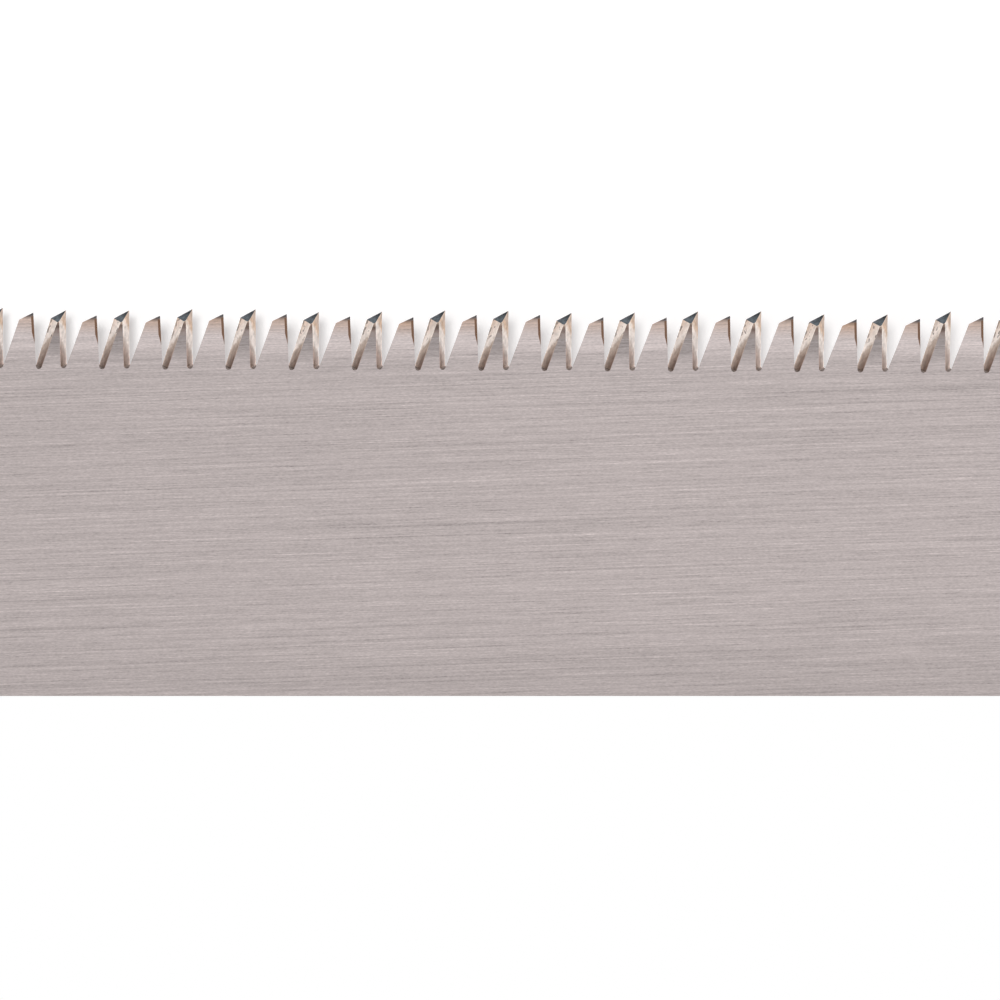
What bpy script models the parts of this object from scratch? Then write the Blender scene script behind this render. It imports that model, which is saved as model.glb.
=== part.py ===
"""Ryoba saw: a Japanese pull saw with two toothed edges, a blade that can be changed and a cane-wound handle.

The saw lies on its side. +X runs from the toe of the blade to the butt of the handle, +Y points to the
crosscut edge and +Z is square to the blade. The origin lies under the middle of the saw, level with its
lowest point. All pieces hang on one empty, whose x is measured from the toe, y from the saw's axis and z from
the middle of the blade's thickness.
"""

import math

import bmesh
import bpy
import numpy as np
from mathutils import Matrix, Vector

MM = 0.001

# Blade
CUT_LENGTH = 240 * MM  # toothed stretch of each edge
TOE_WIDTH = 86 * MM  # over the tooth tips, where the teeth start at the toe
EDGE_TAPER = math.radians(2.25)  # each tooth line closes on the axis towards the handle
BLADE_THICKNESS = 0.6 * MM
TOE_LAND = 5 * MM  # plain edge between the toe and the first tooth
HEEL_LAND = 6 * MM  # plain edge behind the last tooth
TOE_RADIUS = 4 * MM
SHOULDER_RUN = 27 * MM  # length over which the heel narrows to the tail
SHOULDER_RADIUS = 8 * MM
NECK_RADIUS = 14 * MM
NECK_LENGTH = 6 * MM  # tail that shows in front of the clamp
TAIL_WIDTH = 26 * MM
TAIL_RADIUS = 3 * MM

# Crosscut teeth, measured along the edge and square to it
CROSS_PITCH = 1.7 * MM
CROSS_HEIGHT = 3.1 * MM
CROSS_FLOOR = 0.3 * MM  # width of a gullet at its floor
CROSS_RAKE = math.radians(2.7)  # the cutting edge leans back by this
CROSS_FLANK = math.radians(20)  # lean of the back of a tooth
CROSS_TOP = math.radians(28.5)  # slope of the third facet, from the tip to the back
CROSS_TOP_BEVEL = math.radians(23)  # that facet falls by this across the blade
CROSS_FLEAM = math.radians(33.7)  # the gullets are filed across the blade at this angle
FLOOR_RISE = 0.1 * MM  # the corners of a gullet's floor lie this much above its middle
HARDENED_GROUP = 4  # teeth that were ground and hardened together
GROUP_STEP = 0.12 * MM  # every other group stands lower by this

# Rip teeth, which grow from the heel to the toe
RIP_TOE_PITCH = 3.2 * MM
RIP_HEEL_PITCH = 2.2 * MM
RIP_FLOOR = 0.4 * MM
RIP_RAKE = math.radians(4)
RIP_BACK = math.radians(50)

# Set of the teeth
TOOTH_SET = 0.15 * MM  # every other tooth leans this far out of each face
FOLD_DEPTH = 0.7  # share of a tooth's height that the set bends

# Clamp
CHEEK_THICKNESS = 1.5 * MM
CHEEK_WIDTH = 30 * MM
CHEEK_RADIUS = 5 * MM
CHEEK_REAR_WIDTH = 20 * MM
GRIP_LENGTH = 36 * MM  # flat front part of the cheeks, which holds the tail
JOGGLE_RUN = 6 * MM  # over which the cheeks spread from the tail to the tang bar
NARROWING_RUN = 9 * MM  # over which the cheeks narrow behind the joggle
CHEEK_ENTRY = 11 * MM  # the cheeks end this far inside the ferrule
CLAMP_GAP = 0.1 * MM  # between the tail and each cheek

# Tang bar and what joins it
TANG_THICKNESS = 3 * MM
TANG_WIDTH = 14 * MM
TANG_LENGTH = 118 * MM
TANG_RADIUS = 3 * MM
TANG_SHOW = 24 * MM  # from the bar's front end to the ferrule
RIVET_INSET = 6.5 * MM
RIVET_SPACING = 10 * MM
RIVET_DIAMETER = 4 * MM
RIVET_HEAD_DIAMETER = 7 * MM
RIVET_HEAD_HEIGHT = 1.7 * MM
PIN_DIAMETER = 3 * MM
FRONT_PIN_INSET = 30 * MM  # from the ferrule's front face
REAR_PIN_INSET = 19 * MM  # from the rear end of the tang bar
PIN_SINK = 1 * MM  # the pins end this far below the surface of the core

# Clamp screw, washer and nut
SCREW_SETBACK = 17 * MM  # from the front of the cheeks
SCREW_DIAMETER = 5 * MM
HEAD_DIAMETER = 13 * MM
HEAD_HEIGHT = 4.5 * MM
HEAD_RIDGES = 20
RIDGE_DEPTH = 0.5 * MM
SLOT_WIDTH = 1.6 * MM
SLOT_DEPTH = 2 * MM
SCREW_TIP = 1 * MM  # thread that shows below the nut
WASHER_DIAMETER = 15 * MM
WASHER_THICKNESS = 1 * MM
NUT_WIDTH = 8 * MM  # across its flats
NUT_HEIGHT = 4 * MM

# Handle, turned to an oval: radii are half widths along Y
HANDLE_LENGTH = 250 * MM  # from the ferrule's front face to the butt
OVAL = 0.78  # thickness of the handle for each unit of its width
FERRULE_LENGTH = 14 * MM
FERRULE_WALL = 1 * MM
SPIGOT_RADIUS = 13.2 * MM  # core inside the ferrule
BED_FRONT_RADIUS = 13.7 * MM  # core under the winding
BED_REAR_RADIUS = 15.8 * MM
BUTT_RADIUS = 17.6 * MM
BUTT_LENGTH = 16 * MM
BUTT_CHAMFER = 2.5 * MM
GLUE_LINE = 0.15 * MM

# Winding: one flat strip, two canes wide
WRAP_LOOPS = 24
WRAP_POINTS = 24  # points in a loop
WRAP_THICKNESS = 1.2 * MM
WRAP_TURN_GAP = 0.5 * MM  # between neighbouring turns
WRAP_SEAT = 0.3 * MM  # clears the corners of the faceted core
WRAP_END_ROOM = 0.4 * MM  # between the winding and the shoulders of its bed
TACK_INSET = 4 * MM  # from an end of the strip
TACK_HEAD_DIAMETER = 3.2 * MM
TACK_HEAD_HEIGHT = 0.8 * MM
TACK_DIAMETER = 1.2 * MM
TACK_LENGTH = 8 * MM

# Fits
SEAT_GAP = 0.1 * MM  # between flat metal faces
HOLE_CLEARANCE = 0.15 * MM  # round rivets, pins, tacks and the screw
MORTISE_CLEARANCE = 0.2 * MM
CUT_MARGIN = 5 * MM  # cutters run this far past what they cut

# Sides of round pieces
HANDLE_SIDES = 32
ROUND_SIDES = 24
SMALL_SIDES = 12
ARC_STEPS = 5  # chords in a rounded corner

# Places along the axis, from the toe
TEETH_END = TOE_LAND + CUT_LENGTH
HEEL_X = TEETH_END + HEEL_LAND
TAIL_X = HEEL_X + SHOULDER_RUN
CLAMP_X = TAIL_X + NECK_LENGTH
SCREW_X = CLAMP_X + SCREW_SETBACK
JOGGLE_X = CLAMP_X + GRIP_LENGTH
TANG_X = JOGGLE_X + JOGGLE_RUN
TAIL_END = TANG_X - SEAT_GAP
FERRULE_X = TANG_X + TANG_SHOW
BED_X = FERRULE_X + FERRULE_LENGTH + SEAT_GAP
BUTT_X = FERRULE_X + HANDLE_LENGTH
BUTT_SHOULDER_X = BUTT_X - BUTT_LENGTH
TANG_END = TANG_X + TANG_LENGTH
RIVET_PLACES = {"front_rivet": TANG_X + RIVET_INSET, "rear_rivet": TANG_X + RIVET_INSET + RIVET_SPACING}
PIN_PLACES = {"front_tang_pin": FERRULE_X + FRONT_PIN_INSET, "rear_tang_pin": TANG_END - REAR_PIN_INSET}

# Heights above the middle of the blade
GRIP_FACE = BLADE_THICKNESS / 2 + CLAMP_GAP
GRIP_TOP = GRIP_FACE + CHEEK_THICKNESS
TANG_FACE = TANG_THICKNESS / 2 + SEAT_GAP
TANG_TOP = TANG_FACE + CHEEK_THICKNESS
WASHER_FACE = GRIP_TOP + SEAT_GAP
HEAD_FACE = WASHER_FACE + WASHER_THICKNESS + SEAT_GAP
NUT_FACE = -GRIP_TOP - SEAT_GAP
SCREW_END = NUT_FACE - NUT_HEIGHT - SCREW_TIP


for old in list(bpy.data.objects):
    bpy.data.objects.remove(old, do_unlink=True)


def collection_named(name):
    made = bpy.data.collections.new(name)
    bpy.context.scene.collection.children.link(made)
    return made


PIECES = collection_named("ryoba_saw")
CUTTERS = collection_named("cutters")

saw = bpy.data.objects.new("saw_axis", None)
saw.location = (-BUTT_X / 2, 0, OVAL * BUTT_RADIUS)
PIECES.objects.link(saw)


def finish(name, colour, roughness, metallic):
    made = bpy.data.materials.new(name)
    made.use_nodes = True
    shader = made.node_tree.nodes["Principled BSDF"]
    shader.inputs["Base Color"].default_value = (*colour, 1)
    shader.inputs["Roughness"].default_value = roughness
    shader.inputs["Metallic"].default_value = metallic
    return made


BLADE_STEEL = finish("brushed_blade_steel", (0.48, 0.42, 0.41), 0.38, 1)
CLAMP_STEEL = finish("nickelled_clamp_steel", (0.58, 0.57, 0.55), 0.3, 1)
TANG_STEEL = finish("black_tang_steel", (0.12, 0.12, 0.12), 0.55, 1)
SCREW_BRASS = finish("screw_brass", (0.72, 0.52, 0.22), 0.3, 1)
FERRULE_STEEL = finish("ferrule_steel", (0.5, 0.49, 0.47), 0.25, 1)
CORE_WOOD = finish("core_wood", (0.62, 0.44, 0.25), 0.6, 0)
CANE = finish("split_cane", (0.66, 0.46, 0.2), 0.42, 0)


def dress(obj, material):
    """Makes an object a piece of the saw, with its own copy of a material."""
    own = material.copy()
    own.name = f"{obj.name}_{material.name}"
    obj.data.materials.clear()
    obj.data.materials.append(own)
    return obj


def placed(name, mesh, location=(0, 0, 0), cutter=False):
    obj = bpy.data.objects.new(name, mesh)
    (CUTTERS if cutter else PIECES).objects.link(obj)
    obj.parent = saw
    obj.location = location
    if cutter:
        obj.hide_render = True
        obj.display_type = "WIRE"
    return obj


def mesh_from(maker):
    """The evaluated mesh of a helper object, closed and facing out, with the helper removed."""
    graph = bpy.context.evaluated_depsgraph_get()
    mesh = bpy.data.meshes.new_from_object(maker.evaluated_get(graph))
    bpy.data.objects.remove(maker, do_unlink=True)
    work = bmesh.new()
    work.from_mesh(mesh)
    bmesh.ops.remove_doubles(work, verts=work.verts, dist=1e-7)
    bmesh.ops.recalc_face_normals(work, faces=work.faces)
    work.to_mesh(mesh)
    work.free()
    return mesh


def plate(loops, low, high):
    """A flat mesh between two heights: the first loop of points is its outline, and the others are holes."""
    curve = bpy.data.curves.new("plate", "CURVE")
    curve.dimensions = "2D"
    curve.fill_mode = "BOTH"
    curve.extrude = (high - low) / 2
    for loop in loops:
        spline = curve.splines.new("POLY")
        spline.points.add(len(loop) - 1)
        for point, (x, y) in zip(spline.points, loop):
            point.co = (x, y, 0, 1)
        spline.use_cyclic_u = True
    maker = bpy.data.objects.new("plate", curve)
    bpy.context.scene.collection.objects.link(maker)
    mesh = mesh_from(maker)
    mesh.transform(Matrix.Translation((0, 0, (high + low) / 2)))
    return mesh


def turned(profile, sides):
    """A mesh turned about Z from (radius, height) points that run from the top down the outer side."""
    mesh = bpy.data.meshes.new("profile")
    mesh.from_pydata([(r, 0, h) for r, h in profile], [(i, i + 1) for i in range(len(profile) - 1)], [])
    maker = bpy.data.objects.new("profile", mesh)
    bpy.context.scene.collection.objects.link(maker)
    screw = maker.modifiers.new("turn", "SCREW")
    screw.steps = sides
    screw.render_steps = sides
    screw.use_merge_vertices = True
    screw.merge_threshold = 1e-6
    return mesh_from(maker)


def cylinder(diameter, low, high, sides):
    work = bmesh.new()
    bmesh.ops.create_cone(
        work, cap_ends=True, segments=sides, radius1=diameter / 2, radius2=diameter / 2, depth=high - low,
        matrix=Matrix.Translation((0, 0, (low + high) / 2)),
    )
    mesh = bpy.data.meshes.new("cylinder")
    work.to_mesh(mesh)
    work.free()
    return mesh


def block(low, high):
    """A box between two corners."""
    low, high = Vector(low), Vector(high)
    work = bmesh.new()
    bmesh.ops.create_cube(
        work, size=1, matrix=Matrix.Translation((low + high) / 2) @ Matrix.Diagonal((*(high - low), 1))
    )
    mesh = bpy.data.meshes.new("block")
    work.to_mesh(mesh)
    work.free()
    return mesh


def boolean(obj, other, operation="DIFFERENCE"):
    modifier = obj.modifiers.new(f"{operation.lower()}_{other.name}", "BOOLEAN")
    modifier.operation = operation
    modifier.object = other


def smooth(mesh, angle=math.radians(35)):
    mesh.shade_smooth()
    mesh.set_sharp_from_angle(angle=angle)
    return mesh


def circle(centre_x, diameter, sides=ROUND_SIDES):
    angles = [2 * math.pi * i / sides for i in range(sides)]
    return [(centre_x + diameter / 2 * math.cos(a), diameter / 2 * math.sin(a)) for a in angles]


def fillet(before, corner, after, radius):
    """The points of an arc that rounds a corner of an outline, from the side of before to that of after."""
    corner = Vector(corner)
    back = (Vector(before) - corner).normalized()
    on = (Vector(after) - corner).normalized()
    half = back.angle(on) / 2
    centre = corner + (back + on).normalized() * radius / math.sin(half)
    start = corner + back * radius / math.tan(half) - centre
    turn = math.pi - 2 * half
    if back.cross(on) > 0:
        turn = -turn
    return [tuple(centre + Matrix.Rotation(turn * i / ARC_STEPS, 2) @ start) for i in range(ARC_STEPS + 1)]


def rounded(corners):
    """A closed outline from (x, y, radius) corners."""
    points = []
    for i, (x, y, radius) in enumerate(corners):
        before, after = corners[i - 1][:2], corners[(i + 1) % len(corners)][:2]
        points += fillet(before, (x, y), after, radius) if radius else [(x, y)]
    return points


def edge_point(side, along, out):
    """A place on the blade: along a toothed edge from its first tooth, and out from its tip line."""
    x = TOE_LAND + along * math.cos(EDGE_TAPER) + out * math.sin(EDGE_TAPER)
    y = TOE_WIDTH / 2 - along * math.sin(EDGE_TAPER) + out * math.cos(EDGE_TAPER)
    return x, side * y


def edge_place_at(side, x, out):
    along = (x - TOE_LAND - out * math.sin(EDGE_TAPER)) / math.cos(EDGE_TAPER)
    return edge_point(side, along, out)


class Station:
    """One step round the blade's outline: its place on the upper and on the lower face.

    A crown station lies on the bent part of a tooth, and its lifts move it out of the face.
    """

    def __init__(self, upper, lower, lifts=None):
        self.places = {1: upper, -1: lower}
        self.crown = lifts is not None
        self.lifts = dict(zip((1, -1), lifts or (0, 0)))


def plain_stations(points):
    return [Station(point, point) for point in points]


def set_lift(out, tip, fold, direction):
    return direction * TOOTH_SET * (out - fold) / (tip - fold)


def crosscut_crown(left, right, shift, floor, tip, wide):
    """The back and front top corners of a crosscut tooth on one face, as (along, out) points.

    left and right are where its back and its cutting edge start on that face, at the height floor. On the
    face where the tooth is narrow they meet in one point, if they do so below the third facet.
    """
    back, rake, top = math.tan(CROSS_FLANK), math.tan(CROSS_RAKE), math.tan(CROSS_TOP)
    tip_along = right + (0 if wide else shift) - (tip - floor) * rake
    facet = tip - (0 if wide else BLADE_THICKNESS * math.tan(CROSS_TOP_BEVEL))
    back_out = (facet - (tip_along - left + floor * back) * top) / (1 - back * top)
    front_out = (facet - (tip_along - right - floor * rake) * top) / (1 + rake * top)
    back_point = (left + (back_out - floor) * back, back_out)
    front_point = (right - (front_out - floor) * rake, front_out)
    if back_point[0] >= front_point[0]:
        apex = floor + (right - left) / (back + rake)
        back_point = front_point = (right - (apex - floor) * rake, apex)
    return back_point, front_point


def crosscut_stations():
    """The crosscut edge from the toe to the heel."""
    count = int(CUT_LENGTH / math.cos(EDGE_TAPER) / CROSS_PITCH)
    shift = BLADE_THICKNESS * math.tan(CROSS_FLEAM)
    root = -CROSS_HEIGHT
    floor = root + FLOOR_RISE
    fold = -CROSS_HEIGHT * FOLD_DEPTH
    back, rake = math.tan(CROSS_FLANK), math.tan(CROSS_RAKE)

    def gullet(index, face):
        return index * CROSS_PITCH + face * (shift / 2 if index % 2 == 0 else -shift / 2)

    def both(along_of, out):
        return [edge_point(1, along_of(face), out) for face in (1, -1)]

    stations = [Station(*both(lambda face: gullet(0, face), root))]
    for i in range(count):
        tip = -GROUP_STEP * (i // HARDENED_GROUP % 2)
        direction = 1 if i % 2 else -1
        left = {face: gullet(i, face) + CROSS_FLOOR / 2 for face in (1, -1)}
        right = {face: gullet(i + 1, face) - CROSS_FLOOR / 2 for face in (1, -1)}
        crown = {}
        for face in (1, -1):
            crown[face] = crosscut_crown(left[face], right[face], shift, floor, tip, face == direction)
        stations.append(Station(*both(left.get, floor)))
        stations.append(Station(*both(lambda face: left[face] + (fold - floor) * back, fold)))
        for corner in (0, 1):
            tops = [crown[face][corner] for face in (1, -1)]
            lifts = [set_lift(out, tip, fold, direction) for _, out in tops]
            stations.append(Station(*[edge_point(1, along, out) for along, out in tops], lifts))
        stations.append(Station(*both(lambda face: right[face] - (fold - floor) * rake, fold)))
        stations.append(Station(*both(right.get, floor)))
        stations.append(Station(*both(lambda face: gullet(i + 1, face), root)))
    return stations


def rip_stations():
    """The rip edge from the toe to the heel. Its teeth are filed square across."""
    lean = math.tan(RIP_BACK) + math.tan(RIP_RAKE)
    edge_length = CUT_LENGTH / math.cos(EDGE_TAPER)
    count = round(2 * edge_length / (RIP_TOE_PITCH + RIP_HEEL_PITCH))
    pitches = np.linspace(RIP_TOE_PITCH, RIP_HEEL_PITCH, count)
    pitches *= edge_length / pitches.sum()
    stations = []
    start = 0
    for i, pitch in enumerate(pitches):
        height = (pitch - RIP_FLOOR) / lean
        fold = -height * FOLD_DEPTH
        direction = 1 if i % 2 else -1
        right = start + pitch - RIP_FLOOR
        tip_along = right - height * math.tan(RIP_RAKE)
        rise = height + fold
        outline = [
            (start, -height, False),
            (start + rise * math.tan(RIP_BACK), fold, False),
            (tip_along, 0, True),
            (right - rise * math.tan(RIP_RAKE), fold, False),
            (right, -height, False),
        ]
        for along, out, crown in outline:
            place = edge_point(-1, along, out)
            lift = set_lift(out, 0, fold, direction)
            stations.append(Station(place, place, (lift, lift) if crown else None))
        start += pitch
    return stations


def heel_points(side):
    """The outline from the plain edge behind the teeth to the mouth of the tail's slot."""
    heel = edge_place_at(side, HEEL_X, -CROSS_HEIGHT)
    neck = (TAIL_X, side * TAIL_WIDTH / 2)
    corner = (TAIL_END, side * TAIL_WIDTH / 2)
    mouth = (TAIL_END, side * (SCREW_DIAMETER / 2 + HOLE_CLEARANCE))
    land = edge_place_at(side, HEEL_X - HEEL_LAND / 2, -CROSS_HEIGHT)
    points = fillet(land, heel, neck, SHOULDER_RADIUS)
    points += fillet(heel, neck, corner, NECK_RADIUS)
    points += fillet(neck, corner, mouth, TAIL_RADIUS)
    return points + [mouth]


def blade_stations():
    """The blade's outline, anticlockwise seen from above."""
    cross, rip = crosscut_stations(), rip_stations()
    radius = SCREW_DIAMETER / 2 + HOLE_CLEARANCE
    half_turn = [math.pi / 2 + math.pi * i / (2 * ARC_STEPS) for i in range(2 * ARC_STEPS + 1)]
    slot = [(SCREW_X + radius * math.cos(a), radius * math.sin(a)) for a in half_turn]
    toe_top = edge_place_at(1, 0, -CROSS_HEIGHT)
    toe_low = edge_place_at(-1, 0, -CROSS_HEIGHT)
    outline = rip
    outline += plain_stations(heel_points(-1))
    outline += plain_stations(slot[::-1])
    outline += plain_stations(heel_points(1)[::-1])
    outline += cross[::-1]
    outline += plain_stations(fillet(cross[0].places[1], toe_top, toe_low, TOE_RADIUS))
    outline += plain_stations(fillet(toe_top, toe_low, rip[0].places[1], TOE_RADIUS))
    return outline


def without_repeats(verts):
    return [v for i, v in enumerate(verts) if v is not verts[i - 1]]


def blade_mesh():
    """Two faces and the wall between them, with each tooth's crown bent out of its face at the fold."""
    stations = blade_stations()
    work = bmesh.new()
    rows = {}
    for face in (1, -1):
        row = []
        for i, station in enumerate(stations):
            x, y = station.places[face]
            if i and station.crown and station.places[face] == stations[i - 1].places[face]:
                row.append(row[-1])
                continue
            row.append(work.verts.new((x, y, face * BLADE_THICKNESS / 2 + station.lifts[face])))
        rows[face] = row
    for face, row in rows.items():
        body = [v for v, station in zip(row, stations) if not station.crown]
        work.faces.new(body[::face])
        for i, station in enumerate(stations):
            if not station.crown or stations[i - 1].crown:
                continue
            end = i
            while stations[end].crown:
                end += 1
            work.faces.new(without_repeats(row[i - 1:end + 1])[::face])
    for i in range(len(stations)):
        wall = [rows[-1][i - 1], rows[-1][i], rows[1][i], rows[1][i - 1]]
        work.faces.new(without_repeats(wall))
    bmesh.ops.triangulate(work, faces=work.faces, quad_method="BEAUTY", ngon_method="BEAUTY")
    mesh = bpy.data.meshes.new("saw_blade")
    work.to_mesh(mesh)
    work.free()
    return mesh


def cheek_mesh(side):
    """A pressed cheek: a flat plate whose rear part is joggled outwards to lie on the tang bar."""
    half, rear = CHEEK_WIDTH / 2, CHEEK_REAR_WIDTH / 2
    rear_x = FERRULE_X + CHEEK_ENTRY
    narrow_x = TANG_X + NARROWING_RUN
    outline = rounded([
        (CLAMP_X, -half, CHEEK_RADIUS),
        (JOGGLE_X, -half, CHEEK_RADIUS),
        (narrow_x, -rear, CHEEK_RADIUS),
        (rear_x, -rear, 0),
        (rear_x, rear, 0),
        (narrow_x, rear, CHEEK_RADIUS),
        (JOGGLE_X, half, CHEEK_RADIUS),
        (CLAMP_X, half, CHEEK_RADIUS),
    ])
    holes = [circle(SCREW_X, SCREW_DIAMETER + 2 * HOLE_CLEARANCE)]
    holes += [circle(x, RIVET_DIAMETER + 2 * HOLE_CLEARANCE) for x in RIVET_PLACES.values()]
    mesh = plate([outline, *holes], GRIP_FACE, GRIP_TOP)
    work = bmesh.new()
    work.from_mesh(mesh)
    for x in (JOGGLE_X, TANG_X):
        whole = [*work.verts, *work.edges, *work.faces]
        bmesh.ops.bisect_plane(work, geom=whole, dist=1e-7, plane_co=(x, 0, 0), plane_no=(1, 0, 0))
    for vert in work.verts:
        share = min(max((vert.co.x - JOGGLE_X) / JOGGLE_RUN, 0), 1)
        vert.co.z = side * (vert.co.z + share * (TANG_FACE - GRIP_FACE))
    if side < 0:
        bmesh.ops.reverse_faces(work, faces=work.faces)
    work.to_mesh(mesh)
    work.free()
    return mesh


def tang_mesh():
    half = TANG_WIDTH / 2
    outline = rounded([
        (TANG_X, -half, 0),
        (TANG_END, -half, TANG_RADIUS),
        (TANG_END, half, TANG_RADIUS),
        (TANG_X, half, 0),
    ])
    holes = [circle(x, RIVET_DIAMETER + 2 * HOLE_CLEARANCE, SMALL_SIDES) for x in RIVET_PLACES.values()]
    holes += [circle(x, PIN_DIAMETER + 2 * HOLE_CLEARANCE, SMALL_SIDES) for x in PIN_PLACES.values()]
    return plate([outline, *holes], -TANG_THICKNESS / 2, TANG_THICKNESS / 2)


def dome(diameter, height, foot, up=1):
    """(radius, height) points of a shallow domed head, from its crown to its rim."""
    steps = 4
    angles = [math.pi / 2 * (1 - i / steps) for i in range(steps + 1)]
    return [(diameter / 2 * math.cos(a), foot + up * height * math.sin(a)) for a in angles]


def rivet_mesh():
    face = TANG_TOP + SEAT_GAP
    shank = RIVET_DIAMETER / 2
    top = dome(RIVET_HEAD_DIAMETER, RIVET_HEAD_HEIGHT, face)
    bottom = dome(RIVET_HEAD_DIAMETER, RIVET_HEAD_HEIGHT, -face, -1)[::-1]
    return smooth(turned([*top, (shank, face), (shank, -face), *bottom], ROUND_SIDES))


def screw_head_mesh():
    """The head alone, with a ridged rim."""
    points = []
    for i in range(2 * HEAD_RIDGES):
        radius = HEAD_DIAMETER / 2 - (RIDGE_DEPTH if i % 2 else 0)
        angle = math.pi * i / HEAD_RIDGES
        points.append((radius * math.cos(angle), radius * math.sin(angle)))
    return plate([points], HEAD_FACE, HEAD_FACE + HEAD_HEIGHT)


def washer_mesh():
    outer, inner = WASHER_DIAMETER / 2, SCREW_DIAMETER / 2 + HOLE_CLEARANCE
    low, high = WASHER_FACE, WASHER_FACE + WASHER_THICKNESS
    profile = [(inner, high), (outer, high), (outer, low), (inner, low), (inner, high)]
    return smooth(turned(profile, ROUND_SIDES))


def laid_oval(mesh, x):
    """Lays a mesh that was turned about Z along X, from a place x, and flattens it to the handle's oval."""
    along_x = Matrix.Rotation(math.pi / 2, 4, "Y")
    flat = Matrix.Diagonal((1, 1, OVAL, 1))
    mesh.transform(Matrix.Translation((x, 0, 0)) @ flat @ along_x)
    return mesh


def core_mesh(side):
    """One half of the handle's core, on the upper or the lower side of the glue line."""
    front = FERRULE_WALL + SEAT_GAP
    bed, shoulder = BED_X - FERRULE_X, BUTT_SHOULDER_X - FERRULE_X
    profile = [
        (0, HANDLE_LENGTH),
        (BUTT_RADIUS - BUTT_CHAMFER, HANDLE_LENGTH),
        (BUTT_RADIUS, HANDLE_LENGTH - BUTT_CHAMFER),
        (BUTT_RADIUS, shoulder),
        (BED_REAR_RADIUS, shoulder),
        (BED_FRONT_RADIUS, bed),
        (SPIGOT_RADIUS, bed),
        (SPIGOT_RADIUS, front),
        (0, front),
    ]
    mesh = laid_oval(turned(profile, HANDLE_SIDES), FERRULE_X)
    work = bmesh.new()
    work.from_mesh(mesh)
    cut = bmesh.ops.bisect_plane(
        work, geom=[*work.verts, *work.edges, *work.faces], dist=1e-7, clear_inner=True,
        plane_co=(0, 0, side * GLUE_LINE / 2), plane_no=(0, 0, side),
    )
    rim = [e for e in cut["geom_cut"] if isinstance(e, bmesh.types.BMEdge)]
    bmesh.ops.contextual_create(work, geom=rim)
    bmesh.ops.recalc_face_normals(work, faces=work.faces)
    work.to_mesh(mesh)
    work.free()
    return smooth(mesh)


def bed_radius(x):
    share = (x - BED_X) / (BUTT_SHOULDER_X - BED_X)
    return BED_FRONT_RADIUS + share * (BED_REAR_RADIUS - BED_FRONT_RADIUS)


WRAP_START = BED_X + WRAP_END_ROOM
WRAP_LEAD = TACK_INSET / BED_FRONT_RADIUS  # angle from an end of the strip to its tack
WRAP_TURNS = WRAP_LOOPS + WRAP_LEAD / math.pi
WRAP_PITCH = (BUTT_SHOULDER_X - WRAP_END_ROOM - WRAP_START + WRAP_TURN_GAP) / (WRAP_TURNS + 1)
WRAP_WIDTH = WRAP_PITCH - WRAP_TURN_GAP


def wrap_x(turn):
    """Where the front edge of the strip lies, at an angle from the top of its first turn."""
    return WRAP_START + WRAP_PITCH * (turn + WRAP_LEAD) / (2 * math.pi)


def wrap_rings():
    """Cross-sections of the wound strip, from its front end to its rear end, as four corners each.

    The strip starts just before the top of the handle and ends just past it, so that both tacks stand on top.
    """
    rings = []
    for turn in np.linspace(-WRAP_LEAD, WRAP_LOOPS * 2 * math.pi + WRAP_LEAD, WRAP_LOOPS * WRAP_POINTS + 1):
        angle = math.pi / 2 + turn
        start = wrap_x(turn)
        ring = []
        for x, rise in ((0, 0), (WRAP_WIDTH, 0), (WRAP_WIDTH, WRAP_THICKNESS), (0, WRAP_THICKNESS)):
            radius = bed_radius(start + x) + WRAP_SEAT + rise
            ring.append((start + x, radius * math.cos(angle), OVAL * radius * math.sin(angle)))
        rings.append(ring)
    return rings


def wrap_mesh():
    """The winding, lofted through its sections as one unbroken strip."""
    rings = wrap_rings()
    work = bmesh.new()
    rows = [[work.verts.new(point) for point in ring] for ring in rings]
    for one, two in zip(rows, rows[1:]):
        for i in range(len(one)):
            work.faces.new((one[i - 1], one[i], two[i], two[i - 1]))
    work.faces.new(rows[0])
    work.faces.new(rows[-1][::-1])
    bmesh.ops.recalc_face_normals(work, faces=work.faces)
    mesh = bpy.data.meshes.new("rattan_wrap")
    work.to_mesh(mesh)
    work.free()
    print(f"least gap between turns of the winding: {least_turn_gap(rings) / MM:.2f} mm")
    return smooth(mesh)


def least_turn_gap(rings):
    """The least distance from the rear edge of a turn to the front edge of the next, on their points."""
    front = np.array([ring[0] for ring in rings])
    rear = np.array([ring[1] for ring in rings])
    half_turn = WRAP_POINTS // 2
    starts = range(len(rings) - half_turn)
    return min(np.linalg.norm(front[i + half_turn:] - rear[i], axis=1).min() for i in starts)


def tack_mesh():
    shank = TACK_DIAMETER / 2
    head = dome(TACK_HEAD_DIAMETER, TACK_HEAD_HEIGHT, 0)
    return smooth(turned([*head, (shank, 0), (shank, -TACK_LENGTH), (0, -TACK_LENGTH)], SMALL_SIDES))


def tack_places():
    """Where the tacks stand: in the middle of the strip, on top of its first and last turns."""
    places = {}
    for name, turn in (("front_wrap_tack", 0), ("rear_wrap_tack", WRAP_LOOPS * 2 * math.pi)):
        start = wrap_x(turn)
        highest = bed_radius(start + WRAP_WIDTH) + WRAP_SEAT + WRAP_THICKNESS
        places[name] = (start + WRAP_WIDTH / 2, 0, OVAL * highest + SEAT_GAP)
    return places


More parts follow.
